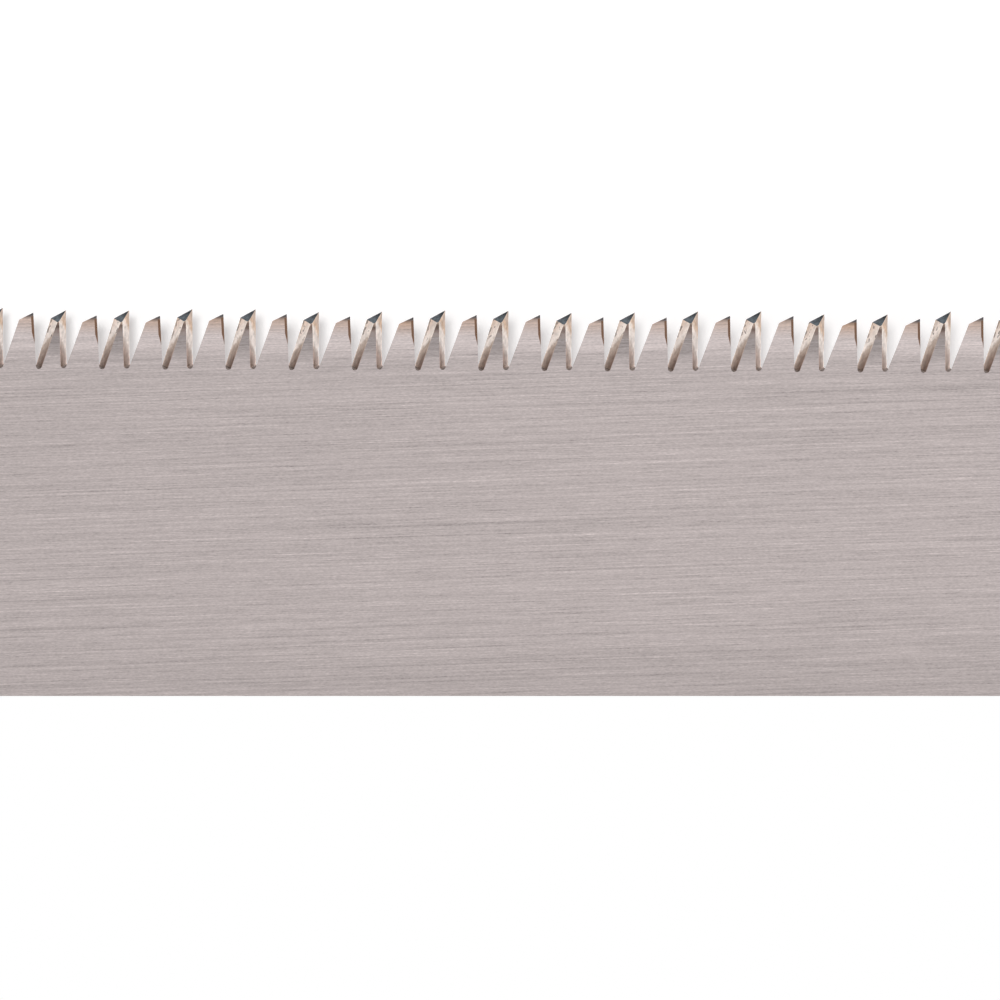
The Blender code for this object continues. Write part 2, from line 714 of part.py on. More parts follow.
# Blade and clamp
dress(placed("saw_blade", blade_mesh()), BLADE_STEEL)
for cheek_name, cheek_side in (("upper_clamp_cheek", 1), ("lower_clamp_cheek", -1)):
    dress(placed(cheek_name, cheek_mesh(cheek_side)), CLAMP_STEEL)
dress(placed("tang_bar", tang_mesh()), TANG_STEEL)
for rivet_name, rivet_x in RIVET_PLACES.items():
    dress(placed(rivet_name, rivet_mesh(), (rivet_x, 0, 0)), CLAMP_STEEL)

# Screw, washer and nut, with their origins on the screw's axis
screw_axis = (SCREW_X, 0, 0)
screw = dress(placed("clamp_screw", screw_head_mesh(), screw_axis), SCREW_BRASS)
shank_mesh = cylinder(SCREW_DIAMETER, SCREW_END, HEAD_FACE + HEAD_HEIGHT / 2, ROUND_SIDES)
boolean(screw, placed("screw_shank", shank_mesh, screw_axis, True), "UNION")
slot_reach = HEAD_DIAMETER / 2 + CUT_MARGIN
slot_low = (-slot_reach, -SLOT_WIDTH / 2, HEAD_FACE + HEAD_HEIGHT - SLOT_DEPTH)
slot_high = (slot_reach, SLOT_WIDTH / 2, HEAD_FACE + HEAD_HEIGHT + CUT_MARGIN)
boolean(screw, placed("screw_slot", block(slot_low, slot_high), screw_axis, True))
dress(placed("screw_washer", washer_mesh(), screw_axis), CLAMP_STEEL)
nut_corners = NUT_WIDTH / math.cos(math.pi / 6)
nut_low = NUT_FACE - NUT_HEIGHT
nut = dress(placed("clamp_nut", cylinder(nut_corners, nut_low, NUT_FACE, 6), screw_axis), CLAMP_STEEL)
bore_diameter = SCREW_DIAMETER + 2 * HOLE_CLEARANCE
nut_bore = cylinder(bore_diameter, nut_low - CUT_MARGIN, NUT_FACE + CUT_MARGIN, ROUND_SIDES)
boolean(nut, placed("nut_bore", nut_bore, screw_axis, True))

# Ferrule
ferrule_inner = SPIGOT_RADIUS + SEAT_GAP
ferrule_outer = ferrule_inner + FERRULE_WALL
ferrule_profile = [
    (0, FERRULE_WALL), (ferrule_inner, FERRULE_WALL), (ferrule_inner, FERRULE_LENGTH),
    (ferrule_outer, FERRULE_LENGTH), (ferrule_outer, 0), (0, 0),
]
ferrule_mesh = smooth(laid_oval(turned(ferrule_profile, HANDLE_SIDES), FERRULE_X))
ferrule = dress(placed("front_ferrule", ferrule_mesh), FERRULE_STEEL)

# Core, with the mortises for the cheeks and the tang bar and the holes for pins and tacks
cheek_mortise_y = CHEEK_REAR_WIDTH / 2 + MORTISE_CLEARANCE
cheek_mortise_z = TANG_TOP + MORTISE_CLEARANCE
cheek_mortise_end = FERRULE_X + CHEEK_ENTRY + MORTISE_CLEARANCE
cheek_mortise = placed(
    "cheek_mortise",
    block(
        (FERRULE_X - CUT_MARGIN, -cheek_mortise_y, -cheek_mortise_z),
        (cheek_mortise_end, cheek_mortise_y, cheek_mortise_z),
    ),
    cutter=True,
)
tang_mortise_y = TANG_WIDTH / 2 + MORTISE_CLEARANCE
tang_mortise_z = TANG_THICKNESS / 2 + MORTISE_CLEARANCE
tang_mortise_end = TANG_END + MORTISE_CLEARANCE
tang_mortise = placed(
    "tang_mortise",
    block((FERRULE_X, -tang_mortise_y, -tang_mortise_z), (tang_mortise_end, tang_mortise_y, tang_mortise_z)),
    cutter=True,
)
boolean(ferrule, cheek_mortise)
core_reach = OVAL * BUTT_RADIUS + CUT_MARGIN
pin_holes = [
    placed(
        f"{name}_hole",
        cylinder(PIN_DIAMETER + 2 * HOLE_CLEARANCE, -core_reach, core_reach, SMALL_SIDES),
        (x, 0, 0),
        True,
    )
    for name, x in PIN_PLACES.items()
]
tack_holes = [
    placed(
        f"{name}_hole",
        cylinder(TACK_DIAMETER + 2 * HOLE_CLEARANCE, -TACK_LENGTH - HOLE_CLEARANCE, CUT_MARGIN, SMALL_SIDES),
        place,
        True,
    )
    for name, place in tack_places().items()
]
for half_name, half_side in (("upper_handle_half", 1), ("lower_handle_half", -1)):
    half = dress(placed(half_name, core_mesh(half_side)), CORE_WOOD)
    for cutter in (cheek_mortise, tang_mortise, *pin_holes):
        boolean(half, cutter)
    if half_side > 0:
        for cutter in tack_holes:
            boolean(half, cutter)
for pin_name, pin_x in PIN_PLACES.items():
    pin_reach = OVAL * bed_radius(pin_x) - PIN_SINK
    pin_mesh = smooth(cylinder(PIN_DIAMETER, -pin_reach, pin_reach, SMALL_SIDES))
    dress(placed(pin_name, pin_mesh, (pin_x, 0, 0)), TANG_STEEL)

# Winding and its tacks
wrap = dress(placed("rattan_wrap", wrap_mesh()), CANE)
for cutter in tack_holes:
    boolean(wrap, cutter)
for tack_name, tack_place in tack_places().items():
    dress(placed(tack_name, tack_mesh(), tack_place), SCREW_BRASS)
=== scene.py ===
import math

import bmesh
import bpy
import numpy as np
from mathutils import Matrix, Vector


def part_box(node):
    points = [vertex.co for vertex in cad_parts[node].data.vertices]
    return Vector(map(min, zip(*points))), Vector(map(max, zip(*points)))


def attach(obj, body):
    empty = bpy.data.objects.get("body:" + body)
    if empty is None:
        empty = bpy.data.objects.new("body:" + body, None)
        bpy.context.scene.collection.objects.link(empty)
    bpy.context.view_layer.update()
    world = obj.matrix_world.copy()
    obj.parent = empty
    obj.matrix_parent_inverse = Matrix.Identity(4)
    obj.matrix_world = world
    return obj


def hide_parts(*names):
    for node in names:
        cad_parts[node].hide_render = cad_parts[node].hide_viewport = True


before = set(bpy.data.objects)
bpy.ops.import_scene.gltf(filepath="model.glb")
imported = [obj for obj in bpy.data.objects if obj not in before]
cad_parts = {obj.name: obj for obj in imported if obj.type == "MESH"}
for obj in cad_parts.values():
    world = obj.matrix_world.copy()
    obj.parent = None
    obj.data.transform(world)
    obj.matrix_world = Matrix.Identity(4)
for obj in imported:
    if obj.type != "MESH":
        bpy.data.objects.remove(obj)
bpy.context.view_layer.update()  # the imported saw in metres: toe at -X, crosscut edge at +Y
scene = bpy.context.scene
scene.view_settings.view_transform = "Standard"
mm = 0.001
hair = 1e-7  # metres: what is closer than this lies in one place
fullTurn = 2 * math.pi
pieceTally = []


# Nodes

class Flow:  # an output of a node, to calculate with
    def __init__(self, socket):
        self.socket, self.tree = socket, socket.id_data

    def to(self, socket):
        self.tree.links.new(self.socket, socket)

    def __add__(self, other):
        return calc("ADD", self, other)

    def __sub__(self, other):
        return calc("SUBTRACT", self, other)

    def __rsub__(self, other):
        return calc("SUBTRACT", other, self)

    def __mul__(self, other):
        return calc("MULTIPLY", self, other)

    def __truediv__(self, other):
        return calc("DIVIDE", self, other)

    def __rtruediv__(self, other):
        return calc("DIVIDE", other, self)

    def __mod__(self, other):
        return calc("MODULO", self, other)

    def __pow__(self, other):
        return calc("POWER", self, other)

    def __abs__(self):
        return calc("ABSOLUTE", self)


def putNode(tree, kind, wires=None, **settings):
    made = tree.nodes.new(kind)
    for key, value in settings.items():
        setattr(made, key, value)
    for key, value in (wires or {}).items():
        if isinstance(value, Flow):
            value.to(made.inputs[key])
        else:
            made.inputs[key].default_value = value
    return made


def fromNode(tree, kind, wires=None, output=0, **settings):
    return Flow(putNode(tree, kind, wires, **settings).outputs[output])


def outputs(node):
    return {socket.name: Flow(socket) for socket in node.outputs}


def treeOf(*values):
    return next(value.tree for value in values if isinstance(value, Flow))


def calc(operation, *values):
    return fromNode(treeOf(*values), "ShaderNodeMath", dict(enumerate(values)), operation=operation)


def vector(x=0.0, y=0.0, z=0.0):
    return fromNode(treeOf(x, y, z), "ShaderNodeCombineXYZ", {0: x, 1: y, 2: z})


def parts(place):
    return [Flow(socket) for socket in putNode(place.tree, "ShaderNodeSeparateXYZ", {0: place}).outputs]


def spread(value, low, high, toLow=0.0, toHigh=1.0, kind="SMOOTHSTEP"):
    wires = {0: value, 1: low, 2: high, 3: toLow, 4: toHigh}
    return fromNode(value.tree, "ShaderNodeMapRange", wires, interpolation_type=kind)


def evenly(value, low, high, toLow=0.0, toHigh=1.0):
    return spread(value, low, high, toLow, toHigh, "LINEAR")


def noise(place, scale=1.0, detail=2.0, rough=0.5):
    wires = {"Vector": place, "Scale": scale, "Detail": detail, "Roughness": rough}
    return fromNode(place.tree, "ShaderNodeTexNoise", wires)


def mixColour(factor, one, two, blend="MIX"):
    wires = {0: factor, 6: one, 7: two}
    return fromNode(treeOf(factor, one, two), "ShaderNodeMix", wires, 2, data_type="RGBA", blend_type=blend)


def tint(colour, level):
    return mixColour(1.0, colour, level, "MULTIPLY")


def colourRamp(factor, stops):
    made = putNode(factor.tree, "ShaderNodeValToRGB", {0: factor})
    elements = made.color_ramp.elements
    for element, (place, colour) in zip((elements[0], elements[1]), (stops[0], stops[-1])):
        element.position = place
        element.color = (*colour, 1)
    for place, colour in stops[1:-1]:
        elements.new(place).color = (*colour, 1)
    return Flow(made.outputs[0])


def readAttribute(tree, name):
    return fromNode(tree, "ShaderNodeAttribute", output="Fac", attribute_name=name)


def objectPlace(tree):
    return fromNode(tree, "ShaderNodeTexCoord", output="Object")


def newFinish(name, metallic=0.0, **sockets):
    made = bpy.data.materials.new(name)
    made.use_nodes = True
    shader = made.node_tree.nodes["Principled BSDF"]
    for key, value in {"Metallic": metallic, **sockets}.items():
        shader.inputs[key].default_value = value
    return made, made.node_tree, shader


def wireFinish(shader, colour, roughness, height, bump):
    wires = {"Strength": bump[0], "Distance": bump[1], "Height": height}
    colour.to(shader.inputs["Base Color"])
    roughness.to(shader.inputs["Roughness"])
    fromNode(height.tree, "ShaderNodeBump", wires).to(shader.inputs["Normal"])


def newTree(name, kind, inputs, results):  # a socket is named by its kind or by its first value
    made = bpy.data.node_groups.new(name, kind + "NodeTree")
    for side, sockets in (("INPUT", inputs), ("OUTPUT", results)):
        for label, value in sockets.items():
            named = isinstance(value, str)
            socketKind = value if named else type(value).__name__.capitalize()
            socket = made.interface.new_socket(label, in_out=side, socket_type="NodeSocket" + socketKind)
            if not named:
                socket.default_value = value
    return made, outputs(made.nodes.new("NodeGroupInput")), made.nodes.new("NodeGroupOutput").inputs


def useGroup(group, **wires):
    return outputs(putNode(treeOf(*wires.values()), "ShaderNodeGroup", wires, node_tree=group))


def store(geometry, name, value, domain="POINT"):
    wires = {"Geometry": geometry, "Name": name, "Value": value}
    return fromNode(geometry.tree, "GeometryNodeStoreNamedAttribute", wires, data_type="FLOAT", domain=domain)


def stored(tree, name):
    return fromNode(tree, "GeometryNodeInputNamedAttribute", {"Name": name}, data_type="FLOAT")


def moved(geometry, place):
    return fromNode(geometry.tree, "GeometryNodeSetPosition", {"Geometry": geometry, "Position": place})


def closeTree(geometry, given, out):
    real = fromNode(geometry.tree, "GeometryNodeRealizeInstances", {0: geometry})
    wires = {"Geometry": real, "Material": given["Finish"]}
    fromNode(geometry.tree, "GeometryNodeSetMaterial", wires).to(out["Geometry"])


def growNodes(piece, tree, values):  # runs the tree once and keeps its mesh
    modifier = piece.modifiers.new("grown", "NODES")
    modifier.node_group = tree
    for item in tree.interface.items_tree:
        if item.in_out == "INPUT" and item.name in values:
            modifier[item.identifier] = values[item.name]
    return settle(piece)


# Meshes

def newObject(name, data):
    made = bpy.data.objects.new(name, data)
    scene.collection.objects.link(made)
    return made


def meshFrom(work, name):
    mesh = bpy.data.meshes.new(name)
    work.to_mesh(mesh)
    work.free()
    return mesh


def objectFrom(work, name):
    return newObject(name, meshFrom(work, name))


def settle(piece):  # turns modifiers into a plain mesh
    bpy.context.view_layer.update()
    depsgraph = bpy.context.evaluated_depsgraph_get()
    solid = bpy.data.meshes.new_from_object(
        piece.evaluated_get(depsgraph), preserve_all_data_layers=True, depsgraph=depsgraph
    )
    piece.modifiers.clear()
    piece.data = solid
    return piece


def smoothShade(piece, angle):
    piece.data.shade_smooth()
    piece.data.set_sharp_from_angle(angle=math.radians(angle))
    return piece


def shiftMesh(mesh, x, y=0):
    mesh.transform(Matrix.Translation((x, y, 0)))
    return mesh


def handOver(piece, material, body, slot, *nodes):
    if material:
        piece.data.materials.clear()
        piece.data.materials.append(material)
    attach(piece, body)
    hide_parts(*nodes)
    pieceTally.append(piece)
    return piece


def plainName(node):
    return node.replace("_", "")


def middle(node):
    low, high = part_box(node)
    return (low + high) / 2


def slope(degrees):
    return math.tan(math.radians(degrees))


def arcPoints(centre, radius, start, end, steps):  # degrees
    turns = [math.radians(start + (end - start) * i / steps) for i in range(steps + 1)]
    return [(centre[0] + radius * math.cos(t), centre[1] + radius * math.sin(t)) for t in turns]


def fillet(before, corner, after, radius, steps=10):
    corner = Vector(corner)
    back, on = (Vector(before) - corner).normalized(), (Vector(after) - corner).normalized()
    half = back.angle(on) / 2
    centre = corner + (back + on).normalized() * radius / math.sin(half)
    start = corner + back * radius / math.tan(half) - centre
    turn = math.pi - 2 * half
    if back.cross(on) > 0:
        turn = -turn
    return [tuple(centre + Matrix.Rotation(turn * i / steps, 2) @ start) for i in range(steps + 1)]


def roundedLine(corners, closed=True, steps=10):  # corners are (x, y, radius)
    points = []
    for i, (x, y, radius) in enumerate(corners):
        if radius and (closed or 0 < i < len(corners) - 1):
            points += fillet(corners[i - 1][:2], (x, y), corners[(i + 1) % len(corners)][:2], radius, steps)
        else:
            points.append((x, y))
    return points


def ringFaces(work, rows):  # from each ring of points to the next
    for one, two in zip(rows, rows[1:]):
        for i in range(len(one)):
            work.faces.new([one[i - 1], one[i], two[i], two[i - 1]])


def turnOutwards(work):
    bmesh.ops.recalc_face_normals(work, faces=work.faces)
    return work


def turnedMesh(name, profile, sides):  # (radius, height) from the top of the axis to its foot
    work = bmesh.new()
    rings = []
    for radius, height in profile:
        if radius < hair:
            rings.append([work.verts.new((0, 0, height))])
            continue
        turns = [fullTurn * i / sides for i in range(sides)]
        rings.append([work.verts.new((radius * math.cos(t), radius * math.sin(t), height)) for t in turns])
    for one, two in zip(rings, rings[1:]):
        for i in range(sides):
            upper = one if len(one) == 1 else [one[i], one[i - 1]]
            lower = two if len(two) == 1 else [two[i - 1], two[i]]
            work.faces.new(upper + lower)
    return meshFrom(turnOutwards(work), name)


def turnedPiece(node, profile, sides, angle, material, slot):  # on the handle, with its axis upright
    mesh = shiftMesh(turnedMesh(node, profile, sides), middle(node).x)
    piece = smoothShade(newObject(plainName(node), mesh), angle)
    return handOver(piece, material, "handle", slot, node)


def gridWork(heights, sides, radiusAt):  # a round solid whose radius may change with angle and height
    work = bmesh.new()
    hollow = work.verts.layers.float.new("hollow")
    rows = []
    for height in heights:
        row = []
        for i in range(sides):
            turn = fullTurn * i / sides
            radius, depth = radiusAt(turn, height)
            vert = work.verts.new((radius * math.cos(turn), radius * math.sin(turn), height))
            vert[hollow] = depth
            row.append(vert)
        rows.append(row)
    ringFaces(work, rows)
    work.faces.new(rows[0][::-1])
    work.faces.new(rows[-1])
    return work


def plateWork(loops, low, high, edge, steps=3):  # rounded edges: outline anticlockwise, holes clockwise
    work = bmesh.new()
    turns = [math.pi / 2 * i / steps for i in range(steps + 1)]
    levels = [(edge * (1 - math.sin(t)), low + edge * (1 - math.cos(t))) for t in turns]
    levels += [(inset, low + high - height) for inset, height in levels[::-1]]
    caps = ([], [])
    for loop in loops:
        flat = np.array(loop)
        ahead = np.roll(flat, -1, axis=0) - flat
        inward = np.stack((-ahead[:, 1], ahead[:, 0]), axis=1) / np.linalg.norm(ahead, axis=1)[:, None]
        before = np.roll(inward, 1, axis=0)
        mitre = (inward + before) / (1 + (inward * before).sum(axis=1))[:, None]
        rows = []
        for inset, height in levels:
            points = (flat + mitre * inset) / mm  # the fill below needs sizes in millimetres
            rows.append([work.verts.new((x, y, height / mm)) for x, y in points])
        ringFaces(work, rows)
        for cap, row in zip(caps, (rows[0], rows[-1])):
            cap += [work.edges.get([row[i - 1], row[i]]) for i in range(len(row))]
    for cap, normal in zip(caps, ((0, 0, -1), (0, 0, 1))):
        bmesh.ops.triangle_fill(work, use_beauty=True, edges=cap, normal=normal)
    bmesh.ops.scale(work, vec=(mm, mm, mm), verts=work.verts)
    return turnOutwards(work)


def holeAt(x, radius, steps=40):  # clockwise
    return arcPoints((x, 0), radius, 360, 0, steps)[:-1]


def boxCutter(low, high):
    work = bmesh.new()
    bmesh.ops.create_cube(work, size=1)
    bmesh.ops.transform(work, matrix=Matrix.Diagonal((*(high - low), 1)), verts=work.verts)
    bmesh.ops.translate(work, vec=(low + high) / 2, verts=work.verts)
    return objectFrom(work, "cutter")


def rodCutter(x, y, radius, low, high, sides=32):
    mesh = turnedMesh("cutter", [(0, high), (radius, high), (radius, low), (0, low)], sides)
    return newObject("cutter", shiftMesh(mesh, x, y))


def cutOut(piece, cutters):
    for cutter in cutters:
        cut = piece.modifiers.new("cut", "BOOLEAN")
        cut.object, cut.solver = cutter, "EXACT"
    settle(piece)
    for cutter in cutters:
        bpy.data.objects.remove(cutter)
    return piece


def domeLine(radius, height, foot, rim, steps=12):  # a domed head from its crown to the foot of its rim
    turns = [math.pi / 2 * (1 - i / steps) for i in range(steps + 1)]
    return [(radius * math.cos(t), foot + rim + (height - rim) * math.sin(t)) for t in turns] + [(radius, foot)]


# Shader groups that more than one finish uses

brushLook = {
    # longer, wider, set off by, share of the streaks
    "layers": ((1, 1, 0, 0.26), (6.2, 1, 31, 0.39), (0.1, 1, 113, 0.35)),
    "scratches": (14, 2.6, 77),
    "scratchSpan": (0.62, 0.74),
    "deeper": 4,  # lines reach this much further in than across
}
smudgeLook = {"detail": 4, "rough": 0.6, "span": (0.35, 0.68)}


def brushGroup():
    inputs = {"Vector": "Vector", "Length": 2.5 * mm, "Width": 0.08 * mm}
    tree, given, out = newTree("brushLines", "Shader", inputs, {"Streak": "Float", "Scratch": "Float"})
    x, y, z = parts(given["Vector"])

    def lines(longer, wider, shift):
        across = y / (given["Width"] * wider) + shift
        depth = z / (given["Width"] * (wider * brushLook["deeper"]))
        return noise(vector(x / (given["Length"] * longer), across, depth), 1, 1)

    one, two, three = (lines(*layer[:3]) * layer[3] for layer in brushLook["layers"])
    (one + two + three).to(out["Streak"])
    spread(lines(*brushLook["scratches"]), *brushLook["scratchSpan"]).to(out["Scratch"])
    return tree


def smudgeGroup():
    inputs = {"Vector": "Vector", "Size": 12 * mm}
    tree, given, out = newTree("smudges", "Shader", inputs, {"Smudge": "Float"})
    broad = noise(given["Vector"], 1 / given["Size"], smudgeLook["detail"], smudgeLook["rough"])
    evenly(broad, *smudgeLook["span"]).to(out["Smudge"])
    return tree


brushLines, smudges = brushGroup(), smudgeGroup()


# Blade: sizes of the teeth as measured along each edge and square to it

bladeSizes = {
    "toeLand": 5 * mm,
    "toeWidth": 86 * mm,
    "taper": math.radians(2.25),
    "thickness": 0.6 * mm,
    "cutLength": 240 * mm,
    "set": 0.15 * mm,
    "foldShare": 0.7,  # of a tooth's depth, above which it is bent aside
    "rootDepth": 0.4 * mm,
    "toeRadius": 4 * mm,
    "heelLand": 6 * mm,
    "shoulderRun": 27 * mm,
    "shoulderRadius": 8 * mm,
    "neckRadius": 14 * mm,
    "tailWidth": 26 * mm,
    "tailRadius": 3 * mm,
    "slotWidth": 5.3 * mm,
    "slotSteps": 20,
    "weld": 0.004 * mm,  # points of teeth and plate that are closer become one
}
crosscut = {
    "pitch": 1.7 * mm,
    "depth": 3.13 * mm,
    # gullet off its middle: upper and lower face, in turn
    "sways": ((0.225 * mm, -0.104 * mm), (-0.149 * mm, 0.13 * mm)),
    "deeper": (0.05 * mm, 0),  # by which a gullet goes below the depth, in turn
    "radius": 0.155 * mm,  # of the gullet's floor
    "wideBack": 19.4,  # degrees off square to the edge, on a tooth's wide and narrow face
    "wideRake": 1.9,
    "narrowBack": 20.8,
    "narrowRake": 2.5,
    "topSlope": 27.5,
    "topFall": 25.5,  # slope of the third facet across the blade
    "short": 0.056 * mm,  # by which one row's tips stay behind the other's
    "ridge": 0.78 * mm,  # scorched top of the narrow face
    "blueTip": 0.27 * mm,
    "wedgeWidth": 0.13 * mm,
    "wedgeSink": 0.06 * mm,
    "wedgeMiddle": 1.15 * mm,
    "wedgeEnd": 1.8 * mm,
    "unevenness": 0.06 * mm,
    "group": 4,
    "groupStep": 0.12 * mm,
    "arcSteps": 5,
    "seed": 11,
}
evenTooth = {  # how the even teeth differ
    "wideBack": 17.25,
    "wideRake": 0.03,
    "narrowBack": 18.8,
    "narrowRake": 1.2,
    "topSlope": 29,
    "short": 0,
}
ripcut = {
    "toePitch": 3.2 * mm,
    "heelPitch": 2.2 * mm,
    "floor": 0.4 * mm,
    "radius": 0.2 * mm,
    "back": 50,
    "rake": 4,
    "arcSteps": 5,
    "seed": 23,
}
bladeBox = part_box("saw_blade")
bladeMid = (bladeBox[0].z + bladeBox[1].z) / 2
edgeLength = bladeSizes["cutLength"] / math.cos(bladeSizes["taper"])
crosscut["count"] = int(edgeLength / crosscut["pitch"])
ripcut["pitch"] = (ripcut["toePitch"] + ripcut["heelPitch"]) / 2
ripcut["count"] = round(edgeLength / ripcut["pitch"])
ripStretch = edgeLength / (ripcut["count"] * ripcut["pitch"])  # fits whole teeth to the edge
ripcut["growth"] = (ripcut["heelPitch"] - ripcut["toePitch"]) / (ripcut["count"] - 1) * ripStretch
ripcut["firstPitch"] = ripcut["toePitch"] * ripStretch - ripcut["growth"] / 2


class ToothCell:  # one tooth with half a gullet on either side
    codes = {"flat": 0, "back": 1, "rake": 2, "top": 3, "backFloor": 4, "rakeFloor": 5, "wedge": 6, "ridge": 7}

    def __init__(self, name, depth, wideSide):
        self.name, self.depth, self.wideSide = name, depth, wideSide
        self.fold = -bladeSizes["foldShare"] * depth
        self.work = bmesh.new()
        self.rise = self.work.verts.layers.float.new("rise")
        self.reach = self.work.verts.layers.float.new("reach")
        self.facet = self.work.faces.layers.float.new("facet")

    def point(self, along, out, reach, sink=0):  # reach is 0 on the narrow face and 1 on the wide one
        side = self.wideSide * (2 * reach - 1)
        lift = max(out - self.fold, 0) / -self.fold * bladeSizes["set"] * self.wideSide
        height = side * bladeSizes["thickness"] / 2 + lift - sink * self.wideSide
        made = self.work.verts.new((along, out, height))
        made[self.rise] = min(max(1 + out / self.depth, 0), 1)
        made[self.reach] = reach
        return made

    def row(self, points, reach):
        return [self.point(along, out, reach) for along, out in points]

    def face(self, verts, code):
        ordered = verts if self.wideSide > 0 else verts[::-1]
        made = self.work.faces.new(ordered)
        made[self.facet] = self.codes[code]

    def walls(self, wide, narrow, code):
        for i in range(len(wide) - 1):
            self.face([wide[i], wide[i + 1], narrow[i + 1], narrow[i]], code)

    def source(self):
        made = objectFrom(self.work, self.name)
        made.hide_render = True
        return made


def gulletSides(start, end, size, back, rake):  # from the gullets' lowest points
    radius, steps = size["radius"], size["arcSteps"]
    left = arcPoints((start[0], start[1] + radius), radius, -90, -back, steps)
    right = arcPoints((end[0], end[1] + radius), radius, 180 + rake, 270, steps)
    return left, right


def crosscutCell(name, wideSide, **changes):
    size = {**crosscut, **changes}
    cell = ToothCell(name, size["depth"], wideSide)
    root = -size["depth"] - bladeSizes["rootDepth"]
    lines = {}
    turn = 1 if wideSide < 0 else -1
    before, after = size["sways"][::turn]
    floorBefore, floorAfter = [-size["depth"] - deeper for deeper in size["deeper"][::turn]]
    for kind, side in (("narrow", -wideSide), ("wide", wideSide)):
        start, end = before[side < 0], size["pitch"] + after[side < 0]
        back, rake = size[kind + "Back"], size[kind + "Rake"]
        left, right = gulletSides((start, floorBefore), (end, floorAfter), size, back, rake)

        def backAt(out, foot=left[-1], lean=slope(back)):
            return foot[0] + (out - foot[1]) * lean

        def rakeAt(out, foot=right[0], lean=slope(rake)):
            return foot[0] - (out - foot[1]) * lean

        lines[kind] = {
            "start": (start, root), "left": left, "right": right, "end": (end, root), "back": backAt, "rake": rakeAt,
        }
    wide, narrow = lines["wide"], lines["narrow"]
    tip = (wide["rake"](-size["short"]), -size["short"])
    crosscut[name + "Tip"] = tip[0]
    fall = slope(size["topSlope"])  # the third facet drops by this from the tip to the back
    heelOut = (tip[1] - (tip[0] - wide["back"](0)) * fall) / (1 - fall * slope(size["wideBack"]))
    heel = (wide["back"](heelOut), heelOut)
    drop = bladeSizes["thickness"] * slope(size["topFall"])

    def facetEnd(line):  # where an edge of the narrow face meets the third facet
        out = (tip[1] + (line(0) - tip[0]) * fall - drop) / (1 - (line(1) - line(0)) * fall)
        return line(out), out

    def across(edges, out, reach):
        return cell.row([(edges["back"](out), out), (edges["rake"](out), out)], reach)

    summit = cell.row([facetEnd(narrow["back"]), facetEnd(narrow["rake"])], 0)
    ridgeOut = facetEnd(narrow["back"])[1] - size["ridge"]
    wideLeft, wideRight = cell.row([wide["start"], *wide["left"]], 1), cell.row([*wide["right"], wide["end"]], 1)
    narrowLeft = cell.row([narrow["start"], *narrow["left"]], 0)
    narrowRight = cell.row([*narrow["right"], narrow["end"]], 0)
    wideFold, narrowFold = across(wide, cell.fold, 1), across(narrow, cell.fold, 0)
    heelVert, tipVert = cell.row([heel, tip], 1)
    blue, waist, end = -size["blueTip"], -size["wedgeMiddle"], -size["wedgeEnd"]
    wedgeIn = cell.row([(wide["rake"](out) - size["wedgeWidth"], out) for out in (blue, waist)], 1)
    wedgeOut = [cell.point(wide["rake"](out), out, 1, sink=size["wedgeSink"]) for out in (blue, waist)]
    wedgeFoot = cell.point(wide["rake"](end), end, 1)
    burnt = across(narrow, ridgeOut, 0)

    cell.face([*wideLeft, wideFold[0], wideFold[1], *wideRight][::-1], "flat")
    cell.face([wideFold[0], heelVert, tipVert, *wedgeIn, wedgeFoot, wideFold[1]][::-1], "flat")
    cell.face([tipVert, wedgeOut[0], wedgeIn[0]][::-1], "flat")
    cell.face([wedgeIn[0], wedgeOut[0], wedgeOut[1], wedgeIn[1]][::-1], "wedge")
    cell.face([wedgeIn[1], wedgeOut[1], wedgeFoot][::-1], "wedge")
    cell.face([*narrowLeft, narrowFold[0], narrowFold[1], *narrowRight], "flat")
    cell.face([narrowFold[0], burnt[0], burnt[1], narrowFold[1]], "flat")
    cell.walls(wideLeft[1:], narrowLeft[1:], "backFloor")
    cell.walls([wideLeft[-1], wideFold[0]], [narrowLeft[-1], narrowFold[0]], "back")
    cell.face([wideFold[0], heelVert, summit[0], burnt[0], narrowFold[0]], "back")
    cell.face([heelVert, tipVert, *summit[::-1]], "top")
    cell.face([*summit, *burnt[::-1]], "ridge")
    cell.face([tipVert, *wedgeOut, wedgeFoot, wideFold[1], narrowFold[1], burnt[1], summit[1]], "rake")
    cell.walls([wideFold[1], wideRight[0]], [narrowFold[1], narrowRight[0]], "rake")
    cell.walls(wideRight[:-1], narrowRight[:-1], "rakeFloor")
    return cell.source()


